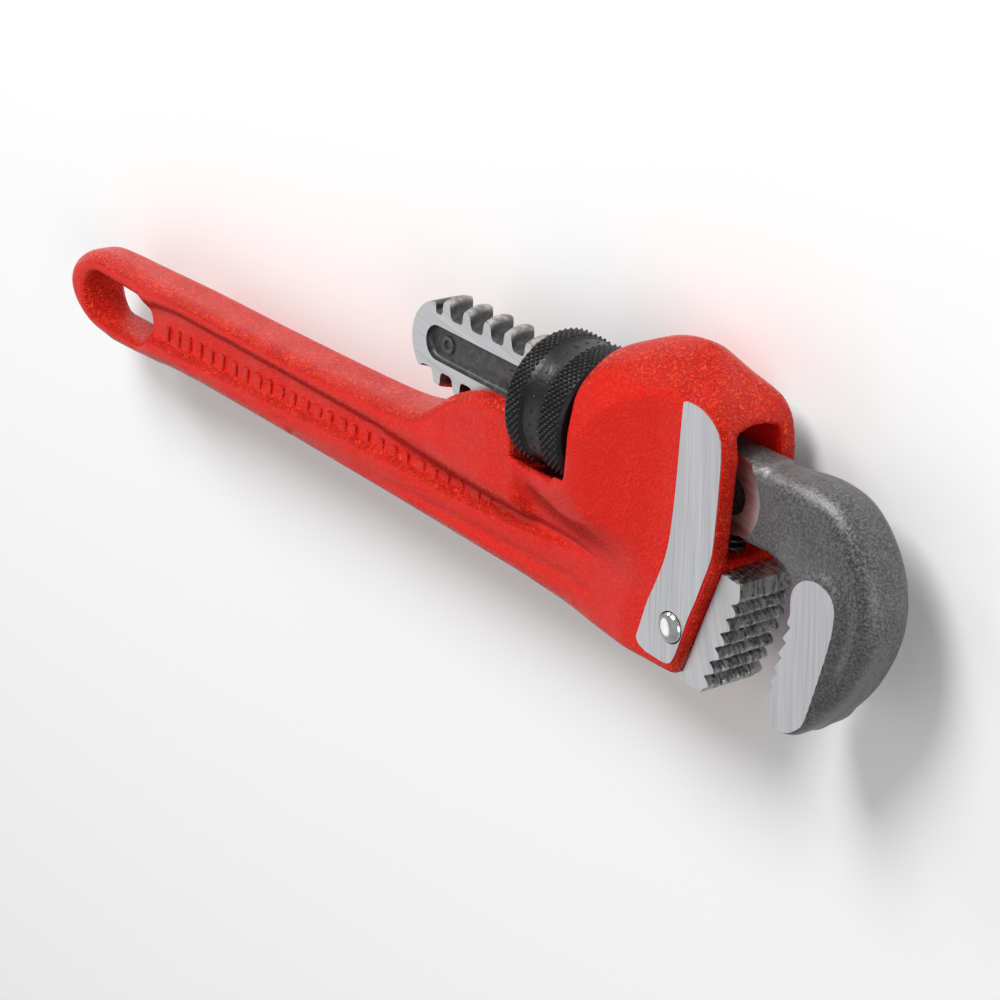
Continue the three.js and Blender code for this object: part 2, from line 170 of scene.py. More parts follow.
class WrenchSprings(bpy.types.PropertyGroup):
    """Sizes of the coil spring."""

    turns: bpy.props.FloatProperty(name="Turns", description="Turns of the coil spring", default=4.5, min=1.0)
    radius: length("Radius", "Radius of the coil", 1.45)
    rise: length("Height", "Height of the coil", 4.15)
    wire: length("Wire", "Radius of the spring wire", 0.27)


class WrenchStage(bpy.types.PropertyGroup):
    """The floor, the lights and the camera."""

    floor_half: bpy.props.FloatProperty(name="Floor", description="Half the width of the floor", default=2.0,
                                        min=0.1, unit="LENGTH")
    world: bpy.props.FloatProperty(name="Surroundings", description="Strength of the even white light",
                                   default=0.33, min=0.0)
    key: power("Key light", "Power of the light from behind the housing", 4.5)
    rear: power("Rear light", "Power of the small light that glints along the handle", 1.8)
    softbox: power("Softbox", "Power of the broad light that the flat sides reflect", 1.15)
    side: power("Side light", "Power of the light from beyond the jaws", 1.7)
    lens: bpy.props.FloatProperty(name="Focal length", default=99.67, min=1.0, subtype="NONE",
                                  description="Focal length of the camera, in millimetres")


# ---- plane outlines ------------------------------------------------------------------------------


def smooth_run(points, steps=6):
    """Points of a smooth curve through the given ones, with the last left out."""
    points = np.array(points, float)
    ends = np.vstack([2 * points[0] - points[1], points, 2 * points[-1] - points[-2]])
    made = []
    for a, b, c, d in zip(ends, ends[1:], ends[2:], ends[3:]):
        for i in range(steps):
            t = i / steps
            made.append(0.5 * (2 * b + (c - a) * t + (2 * a - 5 * b + 4 * c - d) * t**2
                               + (3 * b - 3 * c + d - a) * t**3))
    return np.array(made)


def outline(*runs):
    """A closed outline: a run of two points is straight, and a longer one is a smooth curve."""
    parts = [np.array(run[:1], float) if len(run) == 2 else smooth_run(run) for run in runs]
    return np.vstack(parts)


def arc(centre, radius, start, end, steps=16):
    """Points of an arc, angles in degrees."""
    angles = np.radians(np.linspace(start, end, steps))
    return np.column_stack([centre[0] + radius * np.cos(angles), centre[1] + radius * np.sin(angles)])


def circle(centre, radius, count=48):
    """Points all round a circle."""
    return arc(centre, radius, 0, 360 - 360 / count, count)


def stadium(x0, x1, y, radius):
    """A slot with round ends, along X."""
    return np.vstack([arc((x1 - radius, y), radius, -90, 90), arc((x0 + radius, y), radius, 90, 270)])


# ---- distance fields -----------------------------------------------------------------------------


def distance_to(points, x, y):
    """Distance in the plane to a closed outline, negative inside it."""
    nearest = np.full(np.broadcast(x, y).shape, np.inf)
    inside = np.zeros(nearest.shape, bool)
    for (x0, y0), (x1, y1) in zip(points, np.roll(points, -1, axis=0)):
        dx, dy = x1 - x0, y1 - y0
        share = np.clip(((x - x0) * dx + (y - y0) * dy) / (dx * dx + dy * dy + 1e-12), 0, 1)
        nearest = np.minimum(nearest, np.hypot(x - x0 - share * dx, y - y0 - share * dy))
        if y1 != y0:
            inside ^= ((y0 > y) != (y1 > y)) & (x < dx * (y - y0) / dy + x0)
    return np.where(inside, -nearest, nearest)


def distance_along(points, x, y):
    """Distance in the plane to an open line through points."""
    nearest = np.full(np.broadcast(x, y).shape, np.inf)
    for (x0, y0), (x1, y1) in zip(points, points[1:]):
        dx, dy = x1 - x0, y1 - y0
        share = np.clip(((x - x0) * dx + (y - y0) * dy) / (dx * dx + dy * dy + 1e-12), 0, 1)
        nearest = np.minimum(nearest, np.hypot(x - x0 - share * dx, y - y0 - share * dy))
    return nearest


def both(a, b, radius=0.0):
    """What two fields have in common, with the edge between them rounded."""
    radius = np.maximum(radius, 1e-6)
    outer = np.hypot(np.maximum(a + radius, 0), np.maximum(b + radius, 0))
    return np.minimum(np.maximum(a, b), -radius) + outer


def either(a, b, radius=0.0):
    """Two fields joined, with a fillet of that radius between them."""
    return -both(-a, -b, radius)


def without(a, b, radius=0.0):
    """A field with another taken out, with the rim rounded."""
    return both(a, -b, radius)


def ease(t):
    """0 to 1, with soft ends."""
    t = np.clip(t, 0, 1)
    return t * t * (3 - 2 * t)


def soft_profile(values, stops, width=1.2):
    """A height that follows stops of (position, height), with its corners eased over a width."""
    positions, heights = zip(*stops)
    offsets = np.linspace(-width, width, 7)
    return sum(np.interp(values + offset, positions, heights) for offset in offsets) / len(offsets)


CORNERS = np.array(list(itertools.product((0, 1), repeat=3)))
EDGES = [(a, b) for a, b in itertools.combinations(range(8), 2) if np.abs(CORNERS[a] - CORNERS[b]).sum() == 1]


def sample(values, points):
    """A sampled field and its slope at points between its samples, in steps of the grid."""
    base = np.clip(np.floor(points).astype(int), 0, np.array(values.shape) - 2)
    part = points - base
    height = np.zeros(len(points))
    slope = np.zeros((len(points), 3))
    for corner in CORNERS:
        found = values[tuple((base + corner).T)]
        share = np.where(corner, part, 1 - part)
        height += found * share.prod(axis=1)
        for axis in range(3):
            others = np.delete(share, axis, axis=1).prod(axis=1)
            slope[:, axis] += found * others * (1 if corner[axis] else -1)
    return height, slope


def surface_of(values, low, step):
    """The zero surface of a sampled distance field, as vertices and four-sided faces that face outwards."""
    inside = values < 0
    size = np.array(values.shape) - 1
    window = [tuple(slice(c, c + n) for c, n in zip(corner, size)) for corner in CORNERS]
    count = sum(inside[w].astype(np.int8) for w in window)
    cells = np.argwhere((count > 0) & (count < 8))
    total = np.zeros((len(cells), 3))
    crossings = np.zeros(len(cells))
    for a, b in EDGES:
        va = values[tuple((cells + CORNERS[a]).T)]
        vb = values[tuple((cells + CORNERS[b]).T)]
        crosses = (va < 0) != (vb < 0)
        share = np.where(crosses, va / np.where(crosses, va - vb, 1), 0)[:, None]
        total += crosses[:, None] * (CORNERS[a] + share * (CORNERS[b] - CORNERS[a]))
        crossings += crosses
    points = cells + total / crossings[:, None]
    for _ in range(2):
        height, slope = sample(values, points)
        move = height[:, None] * slope / np.maximum((slope**2).sum(axis=1), 1e-6)[:, None]
        points -= np.clip(move, -0.35, 0.35)
    index = np.full(size, -1)
    index[tuple(cells.T)] = np.arange(len(cells))
    faces = []
    for axis in range(3):
        u, v = (axis + 1) % 3, (axis + 2) % 3
        ahead = [slice(None)] * 3
        behind = [slice(None)] * 3
        ahead[axis], behind[axis] = slice(1, None), slice(None, -1)
        for side in (u, v):
            ahead[side] = behind[side] = slice(1, -1)
        first, second = inside[tuple(behind)], inside[tuple(ahead)]
        for outward, mask in ((True, first & ~second), (False, second & ~first)):
            at = np.argwhere(mask)
            at[:, u] += 1
            at[:, v] += 1
            ring = []
            for du, dv in ((-1, -1), (0, -1), (0, 0), (-1, 0)):
                cell = at.copy()
                cell[:, u] += du
                cell[:, v] += dv
                ring.append(index[tuple(cell.T)])
            faces.append(np.column_stack(ring if outward else ring[::-1]))
    return low + step * points, np.vstack(faces)


def grid_over(low, high, step):
    """The three axes of a grid over a box, shaped to be combined."""
    low, high = np.array(low, float), np.array(high, float)
    axes = [np.arange(a, b + step, step) for a, b in zip(low, high)]
    return axes[0][:, None, None], axes[1][None, :, None], axes[2][None, None, :]


def solid_from(field, low, high, step):
    """Vertices and faces of a field over a box."""
    values = field(*grid_over(low, high, step))
    return surface_of(values.astype(float), np.array(low, float), step)


# ---- meshes --------------------------------------------------------------------------------------


def placed(points):
    """Millimetres about the shank's axis to metres in the frame."""
    return np.asarray(points, float) * MM + np.array(ORIGIN)


def new_piece(name, points, faces, material=None):
    """An object from millimetre points, at the frame's origin."""
    mesh = bpy.data.meshes.new(name)
    points = placed(points)
    if isinstance(faces, np.ndarray):
        mesh.vertices.add(len(points))
        mesh.vertices.foreach_set("co", points.ravel())
        mesh.loops.add(faces.size)
        mesh.loops.foreach_set("vertex_index", faces.ravel())
        mesh.polygons.add(len(faces))
        mesh.polygons.foreach_set("loop_start", np.arange(len(faces)) * faces.shape[1])
        mesh.update(calc_edges=True)
    else:
        mesh.from_pydata([tuple(p) for p in points], [], faces)
    if material:
        mesh.materials.append(material)
    piece = bpy.data.objects.new(name, mesh)
    bpy.context.scene.collection.objects.link(piece)
    return piece


def prism(name, points, low, high, material):
    """An outline extruded in Z, from one height to another."""
    count = len(points)
    area = sum(a[0] * b[1] - b[0] * a[1] for a, b in zip(points, np.roll(points, -1, axis=0)))
    ring = points if area > 0 else points[::-1]
    vertices = [(x, y, z) for z in (low, high) for x, y in ring]
    walls = [(i, (i + 1) % count, count + (i + 1) % count, count + i) for i in range(count)]
    return new_piece(name, vertices, [tuple(range(count))[::-1], tuple(range(count, 2 * count)), *walls],
                     material)


def combine(piece, tool, operation):
    """Joins or cuts a piece with a tool, whose faces keep their own material, and removes the tool."""
    modifier = piece.modifiers.new("combine", "BOOLEAN")
    modifier.operation = operation
    modifier.solver = "EXACT"
    modifier.material_mode = "TRANSFER"
    modifier.object = tool
    replace_mesh(piece)
    bpy.data.objects.remove(tool)


def replace_mesh(piece):
    """Puts a piece's finished shape in its mesh and removes its modifiers."""
    graph = bpy.context.evaluated_depsgraph_get()
    graph.update()
    mesh = bpy.data.meshes.new_from_object(piece.evaluated_get(graph))
    piece.modifiers.clear()
    piece.data = mesh
    mesh.name = piece.name


def shade(piece, angle=35):
    """Smooth shading, with sharp edges past an angle and where one finish meets another."""
    piece.data.shade_smooth()
    piece.data.set_sharp_from_angle(angle=math.radians(angle))
    if len(piece.data.materials) > 1:
        mesh = bmesh.new()
        mesh.from_mesh(piece.data)
        for edge in mesh.edges:
            if len({face.material_index for face in edge.link_faces}) > 1:
                edge.smooth = False
        mesh.to_mesh(piece.data)
        mesh.free()


def settle(piece, body, slot, *nodes):
    """The finished piece rides on its body and stands for its nodes."""
    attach(piece, body)
    if nodes:
        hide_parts(*nodes)


# ---- shader expressions --------------------------------------------------------------------------


class Value:
    """A shader socket that can be used in sums."""

    def __init__(self, shader, socket):
        self.shader = shader
        self.socket = socket

    def _with(self, operation, a, b):
        return self.shader.node("ShaderNodeMath", {"operation": operation}, {0: a, 1: b})

    def __add__(self, other):
        return self._with("ADD", self, other)

    def __mul__(self, other):
        return self._with("MULTIPLY", self, other)

    def ramp(self, low, high, start=0.0, end=1.0):
        """From start to end as the value goes from low to high, with soft ends."""
        return self.shader.node("ShaderNodeMapRange", {"interpolation_type": "SMOOTHSTEP"},
                                {0: self, 1: low, 2: high, 3: start, 4: end})


class Shader:
    """A new material with one Principled shader."""

    def __init__(self, name, **uniform):
        self.material = bpy.data.materials.new(name)
        self.material.use_nodes = True
        self.tree = self.material.node_tree
        self.surface = self.tree.nodes["Principled BSDF"]
        for key, value in uniform.items():
            self.surface.inputs[key.replace("_", " ")].default_value = value
        self.place = self.node("ShaderNodeTexCoord", output="Object")
        self.about = self.node("ShaderNodeVectorMath", {"operation": "SUBTRACT"}, {0: self.place, 1: ORIGIN})

    def node(self, kind, settings=None, inputs=None, output=0):
        made = self.tree.nodes.new(kind)
        for key, value in (settings or {}).items():
            setattr(made, key, value)
        for key, value in (inputs or {}).items():
            if isinstance(value, Value):
                self.tree.links.new(value.socket, made.inputs[key])
            else:
                made.inputs[key].default_value = value
        return Value(self, made.outputs[output])

    def turned(self, scale, turn=0.0):
        """Object coordinates about the shank's axis, turned about Z in degrees and then stretched."""
        spun = self.node("ShaderNodeVectorRotate", {"rotation_type": "Z_AXIS"},
                         {"Vector": self.about, "Angle": math.radians(turn)})
        return self.node("ShaderNodeMapping", {"vector_type": "POINT"}, {"Vector": spun, "Scale": scale})

    def distance_from_axis(self):
        """Distance from the shank's axis."""
        across = self.node("ShaderNodeVectorMath", {"operation": "MULTIPLY"}, {0: self.about, 1: (0, 1, 1)})
        return self.node("ShaderNodeVectorMath", {"operation": "LENGTH"}, {0: across}, output="Value")

    def noise(self, vector, scale, detail=2.0, rough=0.5, warp=0.0):
        return self.node("ShaderNodeTexNoise", {},
                         {"Vector": vector, "Scale": scale, "Detail": detail, "Roughness": rough,
                          "Distortion": warp})

    def mix(self, factor, a, b):
        """One colour to another by a factor."""
        return self.node("ShaderNodeMix", {"data_type": "RGBA"}, {0: factor, 6: a, 7: b}, output=2)

    def bump(self, height, distance, strength=1.0):
        return self.node("ShaderNodeBump", {}, {"Height": height, "Distance": distance, "Strength": strength})

    def connect(self, **links):
        for key, value in links.items():
            self.tree.links.new(value.socket, self.surface.inputs[key.replace("_", " ")])
        return self.material


def tone(shade, factor=1.0):
    """A colour in linear light times a factor, with its alpha."""
    return (*[min(1.0, part * factor) for part in shade], 1.0)


def make_paint(shade):
    """Gloss enamel over a rough casting: wrinkled on its curves and smoother on its flat sides, with painted
    highlight in its colour as lighter orange-pink flecks on the curves.
    """
    red = Shader("enamel", IOR=1.42, Specular_Tint=(1.0, 0.50, 0.26, 1.0))
    grain = red.noise(red.place, 1700, detail=3, rough=0.5, warp=1.6)
    patches = red.noise(red.place, 160, detail=2)
    fine = red.noise(red.place, 3600, detail=2)
    normal = red.node("ShaderNodeTexCoord", output="Normal")
    upright = red.node("ShaderNodeSeparateXYZ", {}, {0: normal}, output="Z")
    flat = red.node("ShaderNodeMath", {"operation": "ABSOLUTE"}, {0: upright})
    curve = flat.ramp(0.80, 0.97, 1.0, 0.20)
    height = grain.ramp(0.30, 0.70) + fine * 0.25
    lively = red.mix(patches.ramp(0.3, 0.7), tone(shade, 0.94), tone(shade, 1.04))
    # painted highlight: a lighter orange-pink colour for the flecks on the curves
    bright = (shade[0] * 1.20, shade[1] * 8.0, shade[2] * 2.0)
    # painted highlight: where the grain is high on the curves, the colour turns to the lighter flecks
    base = red.mix(grain.ramp(0.45, 0.72) * curve, lively, tone(bright))
    relief = red.bump(height * curve * patches.ramp(0.35, 0.65, 0.6, 1.0), 0.00036)
    return red.connect(Base_Color=base, Roughness=patches.ramp(0.3, 0.7, 0.17, 0.27), Normal=relief)


def make_ground(name, turn, shade, streak=1.0):
    """Bare steel ground in one direction."""
    steel = Shader(name, Metallic=1.0)
    lines = steel.noise(steel.turned((60, 3200, 400), turn), 1.0, detail=3, rough=0.6)
    wide = steel.noise(steel.turned((25, 600, 100), turn), 1.0, detail=2)
    scratches = steel.noise(steel.turned((35, 6500, 500), turn + 4), 1.0, detail=1)
    base = steel.mix((lines * 0.6 + wide * 0.4).ramp(0.3, 0.7), tone(shade, 0.84), tone(shade, 1.06))
    base = steel.mix(scratches.ramp(0.62, 0.72), base, tone(shade, 0.7))
    relief = steel.bump(lines * streak, 0.00002, 0.6)
    return steel.connect(Base_Color=base, Roughness=wide.ramp(0.3, 0.7, 0.34, 0.5), Normal=relief)


def make_forged(shade, crest_shade):
    """Blasted forging, dark grey with fine bright grains, and a cut thread that is brighter on its crests,
    with painted shade darkening the roots of the thread.
    """
    steel = Shader("blasted_steel", Metallic=0.85)
    coarse = steel.noise(steel.place, 900, detail=3, rough=0.6)
    fine = steel.noise(steel.place, 3200, detail=3, rough=0.75)
    cloud = steel.noise(steel.place, 120, detail=2)
    base = steel.mix(fine.ramp(0.38, 0.66), tone(shade, 0.55), tone(shade, 1.6))
    base = steel.mix(cloud.ramp(0.35, 0.7, 0.0, 0.35), base, tone(shade, 1.75))
    along = steel.node("ShaderNodeSeparateXYZ", {}, {0: steel.about}, output="X")
    radius = steel.distance_from_axis()
    front = along.ramp(0.012, 0.016, 1.0, 0.0)
    shadow = front * radius.ramp(0.0052, 0.0058, 1.0, 0.0)
    # crests in the cut steel's colour; the roots fade to the forging's darker colour, partly as painted shade
    base = steel.mix(front * radius.ramp(0.0043, 0.0060), base,
                     steel.mix(coarse.ramp(0.35, 0.65), tone(crest_shade, 0.42), tone(crest_shade)))
    # painted shade: the roots of the thread darkened further
    base = steel.mix(shadow * coarse.ramp(0.4, 0.6, 0.5, 0.9), base, tone(shade, 0.5))
    relief = steel.bump(coarse * 0.7 + fine * 0.6, 0.00007)
    return steel.connect(Base_Color=base, Roughness=fine.ramp(0.3, 0.7, 0.36, 0.6), Normal=relief)


def make_recess(shade):
    """The speckled floor of the shank's recess, with painted shade: its tones are darker than the blasted
    forging's.
    """
    steel = Shader("recess_steel", Metallic=0.7)
    fine = steel.noise(steel.place, 2600, detail=3, rough=0.75)
    # painted shade: the recess floor's tones are darker than the forging's
    base = steel.mix(fine.ramp(0.36, 0.66), tone(shade, 0.4), tone(shade, 1.15))
    return steel.connect(Base_Color=base, Roughness=fine.ramp(0.3, 0.7, 0.4, 0.6),
                         Normal=steel.bump(fine, 0.00006))


def make_oxide(shade):
    """Black oxide on a knurled nut, a little lighter grey on the tips of its points."""
    black = Shader("oxide_black", Metallic=0.5)
    grain = black.noise(black.place, 2200, detail=2)
    # the tips of the knurl's points in a lighter grey
    grey_tips = black.distance_from_axis().ramp(0.00836, 0.0085) * grain.ramp(0.35, 0.6, 0.3, 1.0)
    base = black.mix(grey_tips, tone(shade), tone(shade, 9))
    return black.connect(Base_Color=base, Roughness=grain.ramp(0.3, 0.7, 0.28, 0.45),
                         Normal=black.bump(grain, 0.00004))


def make_milled(shade):
    """Rough-milled steel of the heel jaw's teeth, dark in its scores."""
    steel = Shader("milled_steel", Metallic=1.0)
    scores = steel.noise(steel.turned((300, 300, 2600)), 1.0, detail=3, rough=0.65)
    grain = steel.noise(steel.place, 1700, detail=3, rough=0.6)
    base = steel.mix((scores * 0.6 + grain * 0.4).ramp(0.35, 0.6), tone(shade, 0.14), tone(shade, 0.92))
    relief = steel.bump(scores * 0.6 + grain * 0.6, 0.00012)
    return steel.connect(Base_Color=base, Roughness=grain.ramp(0.3, 0.7, 0.3, 0.55), Normal=relief)


def make_plain(name, shade, roughness, metallic):
    """Smooth steel with a little smear in its polish."""
    steel = Shader(name, Metallic=metallic)
    smear = steel.noise(steel.place, 700, detail=2)
    base = steel.mix(smear.ramp(0.3, 0.7), tone(shade, 0.85), tone(shade, 1.1))
    return steel.connect(Base_Color=base, Roughness=smear.ramp(0.3, 0.7, roughness, roughness * 1.6))


def finish_named(name):
    """The material of that name, made once from the colours in the panel."""
    if name in bpy.data.materials:
        return bpy.data.materials[name]
    colours = bpy.context.scene.wrench_finishes
    makers = {
        "enamel": lambda: make_paint(colours.paint),
        "cheek_ground": lambda: make_ground(name, 82, colours.ground),
        "flank_ground": lambda: make_ground(name, 68, colours.ground, 0.6),
        "shank_ground": lambda: make_ground(name, 8, colours.ground, 0.6),
        "blasted_steel": lambda: make_forged(colours.forged, colours.thread),
        "recess_steel": lambda: make_recess(colours.forged),
        "oxide_black": lambda: make_oxide(colours.oxide),
        "milled_steel": lambda: make_milled(colours.ground),
        "polished_steel": lambda: make_plain(name, colours.pin, 0.11, 1.0),
        "tempered_steel": lambda: make_plain(name, colours.spring, 0.3, 0.8),
    }
    return makers[name]()


# ---- handle --------------------------------------------------------------------------------------

BAR = outline(
    [(22, -23.6), (10, -23.4)],
    [(10, -23.4), (-15, -23.2), (-40, -23.1), (-80, -23.4), (-92, -24.4), (-98, -25.0), (-104, -25.4)],
    [(-104, -25.4), (-110.3, -24.6), (-114.6, -22.2), (-116.3, -18.8), (-114.8, -15.3), (-110.3, -12.9),
     (-104, -12.4)],
    [(-104, -12.4), (-78, -12.1), (-55, -11.5), (-40, -10.9), (-30, -10.0), (-20, -9.8)],
    [(-20, -9.8), (22, -9.8)],
    [(22, -9.8), (22, -23.6)],
)
CHANNEL = outline(
    [(-95, -15.0), (-88, -13.8), (-78, -13.4), (-31, -13.2), (-11, -13.6), (4, -13.6), (8, -14.2)],
    [(8, -14.2), (9.6, -15.2)],
    [(9.6, -15.2), (1, -16.5), (-9, -17.5), (-20, -18.3), (-31, -18.6), (-53, -19.5), (-65, -20.3),
     (-78, -20.9), (-88, -21.4), (-95, -21.8)],
    [(-95, -21.8), (-95, -15.0)],
)
FORK = outline(
    [(-36, -13), (-29.5, -10.0), (-24, -6.1), (-20, -3.6), (-15.5, -1.9), (-11, -1.6)],
    [(-11, -1.6), (-6, -1.6)],
    [(-6, -1.6), (-6, -14)],
    [(-6, -14), (-36, -14)],
    [(-36, -14), (-36, -13)],
)
HOUSING = outline(
    [(1, -6.4), (1, 2)],
    [(1, 2), (4.3, 7.8), (6.6, 10.9), (10.2, 12.9), (13.6, 14.3), (16.6, 15.1), (18.7, 15.1), (20.4, 13.9),
     (22.8, 12.3), (25.2, 10.5), (27.1, 8.2), (28.0, 5.2)],
    [(28.0, 5.2), (28.15, -8.4)],
    [(28.15, -8.4), (23.3, -23.2)],
    [(23.3, -23.2), (14, -23.55)],
    [(14, -23.55), (2, -23.4), (-8, -22.5)],
    [(-8, -22.5), (-8, -6.4)],
    [(-8, -6.4), (1, -6.4)],
)
CHEEK_FLAT = outline(
    [(20.7, 9.7), (21.5, 10.0), (23.4, 9.9), (25.1, 9.3), (26.2, 8.5), (27.0, 7.3), (27.4, 5.6), (27.6, 3.4),
     (27.75, -1.3), (27.75, -5.9), (27.4, -7.8), (26.8, -9.8), (25.9, -12.8), (25.0, -15.4), (24.0, -19.2),
     (23.3, -21.2), (22.6, -21.9), (21.6, -22.1)],
    [(21.6, -22.1), (18.9, -22.0)],
    [(18.9, -22.0), (17.6, -21.6), (17.0, -20.9), (17.2, -19.9), (18.2, -15.9), (18.9, -14.0), (19.8, -11.4),
     (20.4, -9.3), (20.8, -6.3), (20.9, -1.0), (20.8, 3.9), (20.7, 7.9), (20.7, 9.7)],
)
PIN_PLACE = (22.4, -17.4)
PIN_PLAY = 0.12  # between the pin and its hole in the cheeks
CLEAR = 9.0  # from the middle plane to well past every side, for what is cut through


def bar_half(sizes, x, y):
    """Half thickness of the bar, with the channel along its side and a small groove below it."""
    rim = sizes.bar_half / MM
    half = soft_profile(x, [(-116, rim - 0.6), (-104, rim - 0.5), (-86, rim), (30, rim)], 4)
    channel = ease(-distance_to(CHANNEL, x, y) / 1.9)
    groove = np.exp(-((distance_along([(-56, -22.0), (9, -19.3)], x, y) / 0.7) ** 2))
    return half - sizes.channel / MM * channel - sizes.groove / MM * groove


def housing_half(x, y):
    """Half thickness of the housing: fullest beside the nut, level at the cheeks, rounded to a roof."""
    high = soft_profile(x, [(-8, 5.2), (2, 7.6), (4, 7.9), (6.5, 7.6), (12, 6.5), (18.0, 5.6), (30, 5.58)])
    low = soft_profile(x, [(-8, 2.4), (2, 3.0), (9, 4.7), (14.5, 5.6), (30, 5.58)])
    half = low + (high - low) * ease((y + 15) / 6.5)
    roof = soft_profile(y, [(-24, 6.4), (-12, 6.6), (-7, 7.8), (-1, 8.0), (5, 7.1), (9.8, 5.7), (12, 4.2),
                            (14, 2.7), (15.4, 1.1), (18, -2.0)], 1.0)
    return np.minimum(half, roof)


def casting_field(sizes, x, y, z):
    """The one casting: bar, fork behind the nut, and housing, with its openings taken out."""
    depth = np.abs(z)
    rim = soft_profile(x, [(-116, 2.9), (-100, 2.7), (-86, 2.1), (30, 1.9)], 4)
    bar = both(distance_to(BAR, x, y), depth - bar_half(sizes, x, y), rim)
    fork_half = soft_profile(x, [(-36, 2.9), (-30, 4.2), (-24, 5.2), (-14, 5.9), (-6, 5.9)], 2)
    fork = both(distance_to(FORK, x, y), depth - fork_half, 1.8)
    edge = soft_profile(y, [(-24, 0.9), (-8, 0.9), (0, 1.5), (10, 2.2), (16, 2.4)])
    edge = np.minimum(edge, 0.3 + 1.1 * np.maximum(distance_to(CHEEK_FLAT, x, y), 0))
    house = both(distance_to(HOUSING, x, y), depth - housing_half(x, y), edge)
    body = either(either(bar, fork, 2.4), house, 1.6)
    window = both(both(-7.9 - x, x - 3.8), np.minimum(np.hypot(y, z) - NUT_RADIUS - 0.8, -2.0 - y))
    body = without(body, window, 0.7)
    fork_groove = both(both(depth - 3.0, -6.8 - y), x)
    body = without(body, fork_groove, 0.7)
    passage = both(both(depth - 3.2, -7.6 - y), y - 8.0 + 0.06 * depth**2)
    body = without(body, both(passage, 2.0 - x), 0.6)
    slot = distance_to(stadium(-110.6, -93.4, -19.1, sizes.slot_radius / MM), x, y)
    body = without(body, slot + 0 * z, 1.5)
    pocket = both(both(depth - 2.55, y + 12.05), both(-21.35 - y, 18.25 - x))
    return np.maximum(body, -pocket)


def build_casting(sizes, pin_radius):
    """The handle's casting with the ground flats and the pin's hole cut crisply."""
    points, faces = solid_from(functools.partial(casting_field, sizes), (-117.4, -26.4, -9.0),
                               (29.4, 16.4, 9.0), sizes.detail / MM)
    piece = new_piece("handle_casting", points, faces, finish_named("enamel"))
    flat = sizes.cheek_half / MM
    ground = finish_named("cheek_ground")
    pads = [prism("pad", CHEEK_FLAT, *sorted((side * (flat - 0.8), side * flat)), ground) for side in (-1, 1)]
    combine(piece, joined("pads", pads), "UNION")
    hole = circle(PIN_PLACE, pin_radius + PIN_PLAY)
    combine(piece, prism("hole", hole, -CLEAR, CLEAR, finish_named("blasted_steel")), "DIFFERENCE")
    shade(piece, 40)
    return piece


MARKS_START = -88.0
MARKS_SLOPE = 0.0265  # rise of the row along the handle
MARKS_HEIGHT = -16.2  # height of the row beside the nut


def marks_tree():
    """Soft-edged bars in a row that rises gently, some wide and some narrow."""
    tree = Tree("cast_marks", Count="int", Seed="int", Start="length", Step="length", Height="length",
                Floor="length", Rise="length", Finish="finish")
    line = tree.node("GeometryNodeMeshLine", {}, {"Count": tree["Count"]})
    index = tree.node("GeometryNodeInputIndex")
    x = tree["Start"] + index * tree["Step"]
    place = tree.vector(x, x * MARKS_SLOPE + MARKS_HEIGHT, tree["Floor"])
    points = tree.node("GeometryNodeSetPosition", {}, {"Geometry": line, "Position": place})
    wide = tree.node("FunctionNodeRandomValue", {"data_type": "INT"},
                     {"Min": 0, "Max": 2, "Seed": tree["Seed"]}, output=2)
    bar = tree.node("GeometryNodeMeshCube", {}, {"Size": (1, 1, 1), "Vertices X": 3, "Vertices Y": 5,
                                                 "Vertices Z": 2})
    soft = tree.node("GeometryNodeSubdivisionSurface", {}, {"Mesh": bar, "Level": 2})
    copies = tree.node("GeometryNodeInstanceOnPoints", {},
                       {"Points": points, "Instance": soft,
                        "Scale": tree.vector(wide * 0.6 + 0.75, tree["Height"], tree["Rise"] * 2.0)})
    tree.end(copies, tree["Finish"])
    return tree


def build_marks(sizes, casting):
    """Low cast bars along the channel on both sides."""
    tree = marks_tree()
    floor = (casting.bar_half - casting.channel) / MM
    parts = [grown("marks", tree, {"Count": sizes.count, "Seed": sizes.seed, "Start": MARKS_START,
                                   "Step": sizes.step / MM, "Height": sizes.height / MM,
                                   "Floor": side * floor, "Rise": sizes.rise / MM,
                                   "Finish": finish_named("enamel")}) for side in (-1, 1)]
    piece = joined("handle_cast_marks", parts)
    shade(piece, 60)
    return piece


# ---- hook jaw ------------------------------------------------------------------------------------

STARTS = 2
PHASE = -27.05  # where a crest of the thread passes the Y axis
ARM_LOW, ARM_HIGH = -4.2, 4.95
RECESS_MIDDLE = -0.12
GRINDING = 0.3  # steel that grinding takes off the boss beside the teeth
HEAD_AREA = np.array([(33, -26), (54, -26), (54, 9), (33, 9)])
HEAD_OUTER = [(30.5, 4.95), (34, 5.3), (39, 5.65), (43.3, 4.8), (46.9, 2.0), (49.4, -1.9), (50.4, -6.3),
              (49.8, -11.0), (47.7, -16.0), (44.8, -20.0), (42.6, -22.3), (41.2, -23.3), (39.6, -23.7),
              (37.9, -23.5)]
HEAD_INNER = [(38.93, -9.9), (39.2, -8.8), (38.7, -6.8), (37.3, -4.8), (34.5, -4.1), (31.5, -4.2),
              (26.0, -4.2)]
HEAD = outline([(26.0, 4.95), (30.5, 4.95)], HEAD_OUTER, [(37.9, -23.5), (36.75, -22.4)],
               [(36.75, -22.4), (38.93, -9.9)], HEAD_INNER, [(26.0, -4.2), (26.0, 4.95)])
